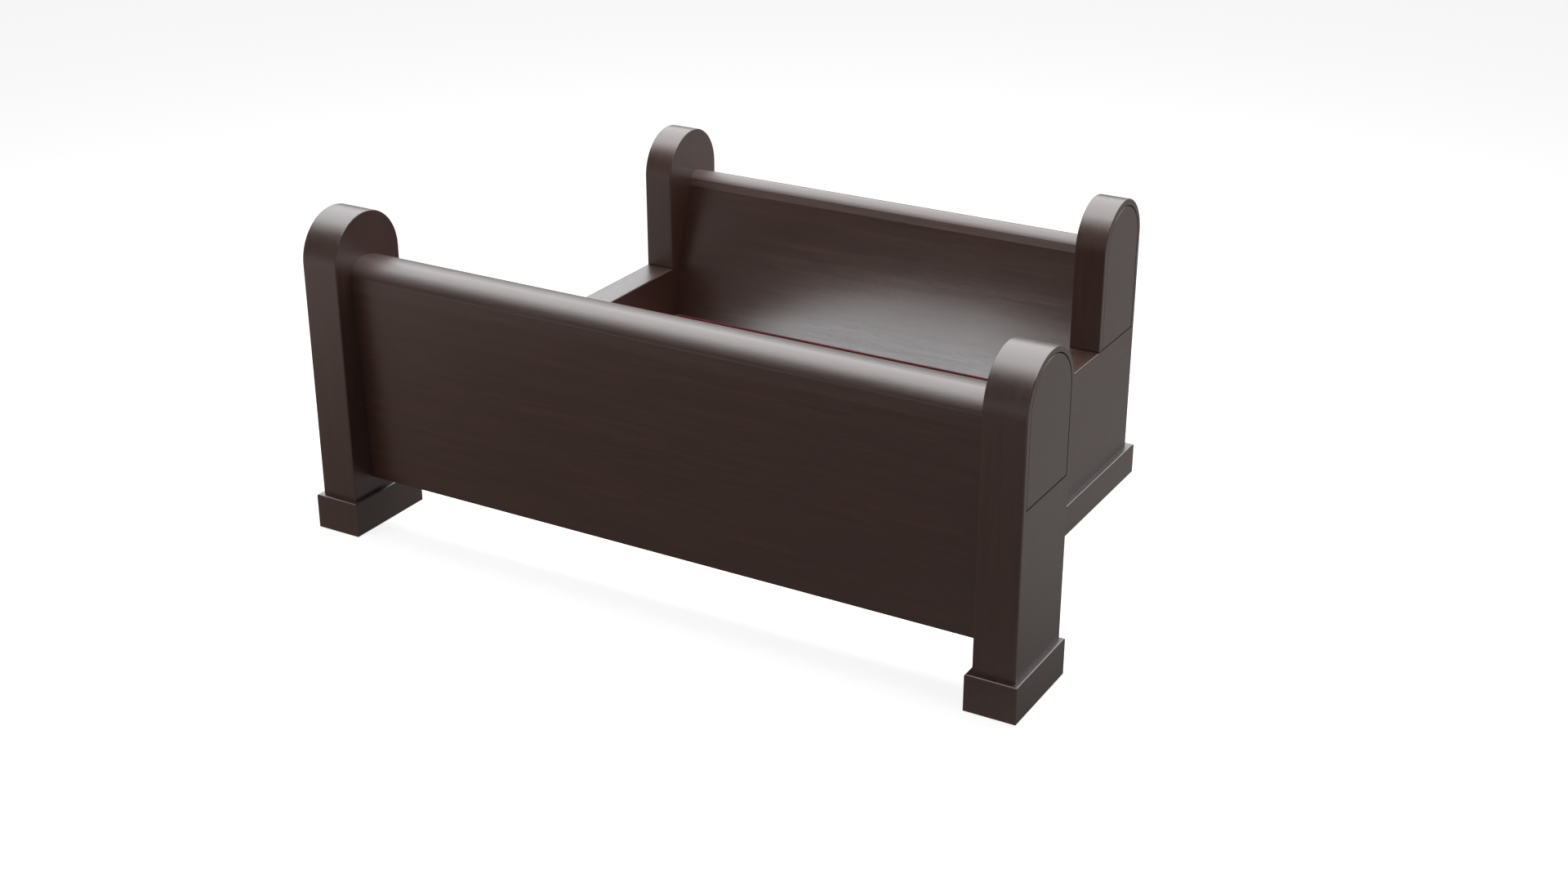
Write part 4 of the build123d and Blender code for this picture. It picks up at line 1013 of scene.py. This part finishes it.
# name, place, what it points at, turn about its own axis, width and depth, watts,
# whether the varnish mirrors it, and whether it lights the colour beneath
LAMPS = (
    ("sky_softbox", (-12.3, 17.2, 13.0), (-12.3, 17.2, 0.0), -0.275, (57.0, 35.7),
     17400.0, True, False),
    ("sky_edge", (-12.8, 15.3, 13.0), (-12.8, 15.3, 0.0), -0.275, (57.0, 39.5),
     8200.0, True, False),
    ("top_fill", (0.0, 0.6, 3.4), (0.0, 0.6, 0.0), 0.0, (3.0, 2.5), 85.0, False, True),
    ("front_fill", (-2.6, -5.2, 1.1), (0.0, -0.6, 0.5), 0.0, (6.0, 2.0), 105.0, False, True),
    ("side_fill", (5.0, -0.5, 2.2), (1.0, 0.0, 0.5), 0.0, (4.0, 3.0), 12.0, False, True),
)


def lay_floor(studio):
    """A pale floor that runs into the background, and throws a dimmer light back on the wood."""
    slab = bmesh.new()
    bmesh.ops.create_grid(slab, x_segments=1, y_segments=1, size=studio.floor_size / 2)
    mesh = bpy.data.meshes.new("floor")
    slab.to_mesh(mesh)
    slab.free()
    floor = bpy.data.objects.new("floor", mesh)
    bpy.context.scene.collection.objects.link(floor)
    material, tree = new_material("pale_floor")
    pale = opaque(studio.floor_colour)
    seen = put(tree, "BsdfDiffuse", {"Color": pale}).outputs[0]
    glow = put(tree, "Emission", {"Color": pale, "Strength": FLOOR_GLOW}).outputs[0]
    bright = put(tree, "AddShader", {0: seen, 1: glow}).outputs[0]
    away = vector(tree, "SUBTRACT", own_place(tree), CAST_CENTRE)
    distance = put(tree, "VectorMath", {0: away}, operation="LENGTH").outputs["Value"]
    cast = ranged(tree, distance, *CAST_REACH, *CAST_STRENGTH, smooth=True)
    thrown = {"Color": opaque(studio.floor_cast), "Strength": cast}
    around = put(tree, "Emission", thrown).outputs[0]
    by_camera = put(tree, "LightPath").outputs["Is Camera Ray"]
    both = put(tree, "MixShader", {0: by_camera, 1: around, 2: bright}).outputs[0]
    tree.links.new(both, put(tree, "OutputMaterial").inputs[0])
    mesh.materials.append(material)


def light_room(studio):
    """White all round to the camera, and an even grey light on everything else."""
    world = bpy.data.worlds.new("room")
    bpy.context.scene.world = world
    world.use_nodes = True
    tree = world.node_tree
    tree.nodes.clear()
    white = put(tree, "Background", {0: (1, 1, 1, 1), 1: 1.0}).outputs[0]
    light = put(tree, "Background", {0: (1, 1, 1, 1), 1: studio.daylight}).outputs[0]
    by_camera = put(tree, "LightPath").outputs["Is Camera Ray"]
    both = put(tree, "MixShader", {0: by_camera, 1: light, 2: white}).outputs[0]
    tree.links.new(both, put(tree, "OutputWorld").inputs[0])


def hang_lamp(name, place, aim, turn, size, watts, mirrored, lights):
    """A rectangular softbox at a place, turned to what it lights."""
    lamp = bpy.data.lights.new(name, "AREA")
    lamp.shape = "RECTANGLE"
    lamp.size, lamp.size_y = size
    lamp.energy = watts
    lamp.color = MIRRORED_COLOUR if mirrored else FILL_COLOUR
    holder = bpy.data.objects.new(name, lamp)
    holder.location = place
    facing = (Vector(aim) - Vector(place)).to_track_quat("-Z", "Y")
    holder.rotation_euler = (facing @ Quaternion((0, 0, 1), turn)).to_euler()
    holder.visible_camera = False
    holder.visible_glossy = mirrored
    holder.visible_diffuse = lights
    bpy.context.scene.collection.objects.link(holder)


# ---------------------------------------------------------------- sidebar and registration
OPERATORS = (
    PEW_OT_screen_posts,
    PEW_OT_pew_posts,
    PEW_OT_feet,
    PEW_OT_arm_panels,
    PEW_OT_screen_panel,
    PEW_OT_cap_rails,
    PEW_OT_back_panel,
    PEW_OT_seat_rails,
    PEW_OT_inner_timber,
    PEW_OT_fittings,
    PEW_OT_seat_pad,
    PEW_OT_seat_piping,
    PEW_OT_studio,
)


class PEW_PT_sidebar(bpy.types.Panel):
    """Every step of the finish, in order"""

    bl_idname = "PEW_PT_sidebar"
    bl_label = "Church Pew"
    bl_space_type = "VIEW_3D"
    bl_region_type = "UI"
    bl_category = "Church Pew"

    def draw(self, context):
        for operator in OPERATORS:
            self.layout.operator(operator.bl_idname)
        for group in SETTINGS:
            settings = getattr(context.scene, group)
            box = self.layout.box()
            for name in settings.bl_rna.properties.keys():
                if name not in ("rna_type", "name"):
                    box.prop(settings, name)


SETTINGS = {
    "pew_wood": PewWood,
    "pew_timber": PewTimber,
    "pew_seat": PewSeat,
    "pew_studio": PewStudio,
}


def register():
    """Adds the settings, the operators and the sidebar panel."""
    for name, settings in SETTINGS.items():
        bpy.utils.register_class(settings)
        setattr(bpy.types.Scene, name, bpy.props.PointerProperty(type=settings))
    for operator in OPERATORS:
        bpy.utils.register_class(operator)
    bpy.utils.register_class(PEW_PT_sidebar)


def unregister():
    """Removes what register added."""
    bpy.utils.unregister_class(PEW_PT_sidebar)
    for operator in reversed(OPERATORS):
        bpy.utils.unregister_class(operator)
    for name, settings in SETTINGS.items():
        delattr(bpy.types.Scene, name)
        bpy.utils.unregister_class(settings)


def main():
    """Makes every piece in order."""
    register()
    for operator in OPERATORS:
        family, step = operator.bl_idname.split(".")
        getattr(getattr(bpy.ops, family), step)()


if __name__ == "__main__":
    main()
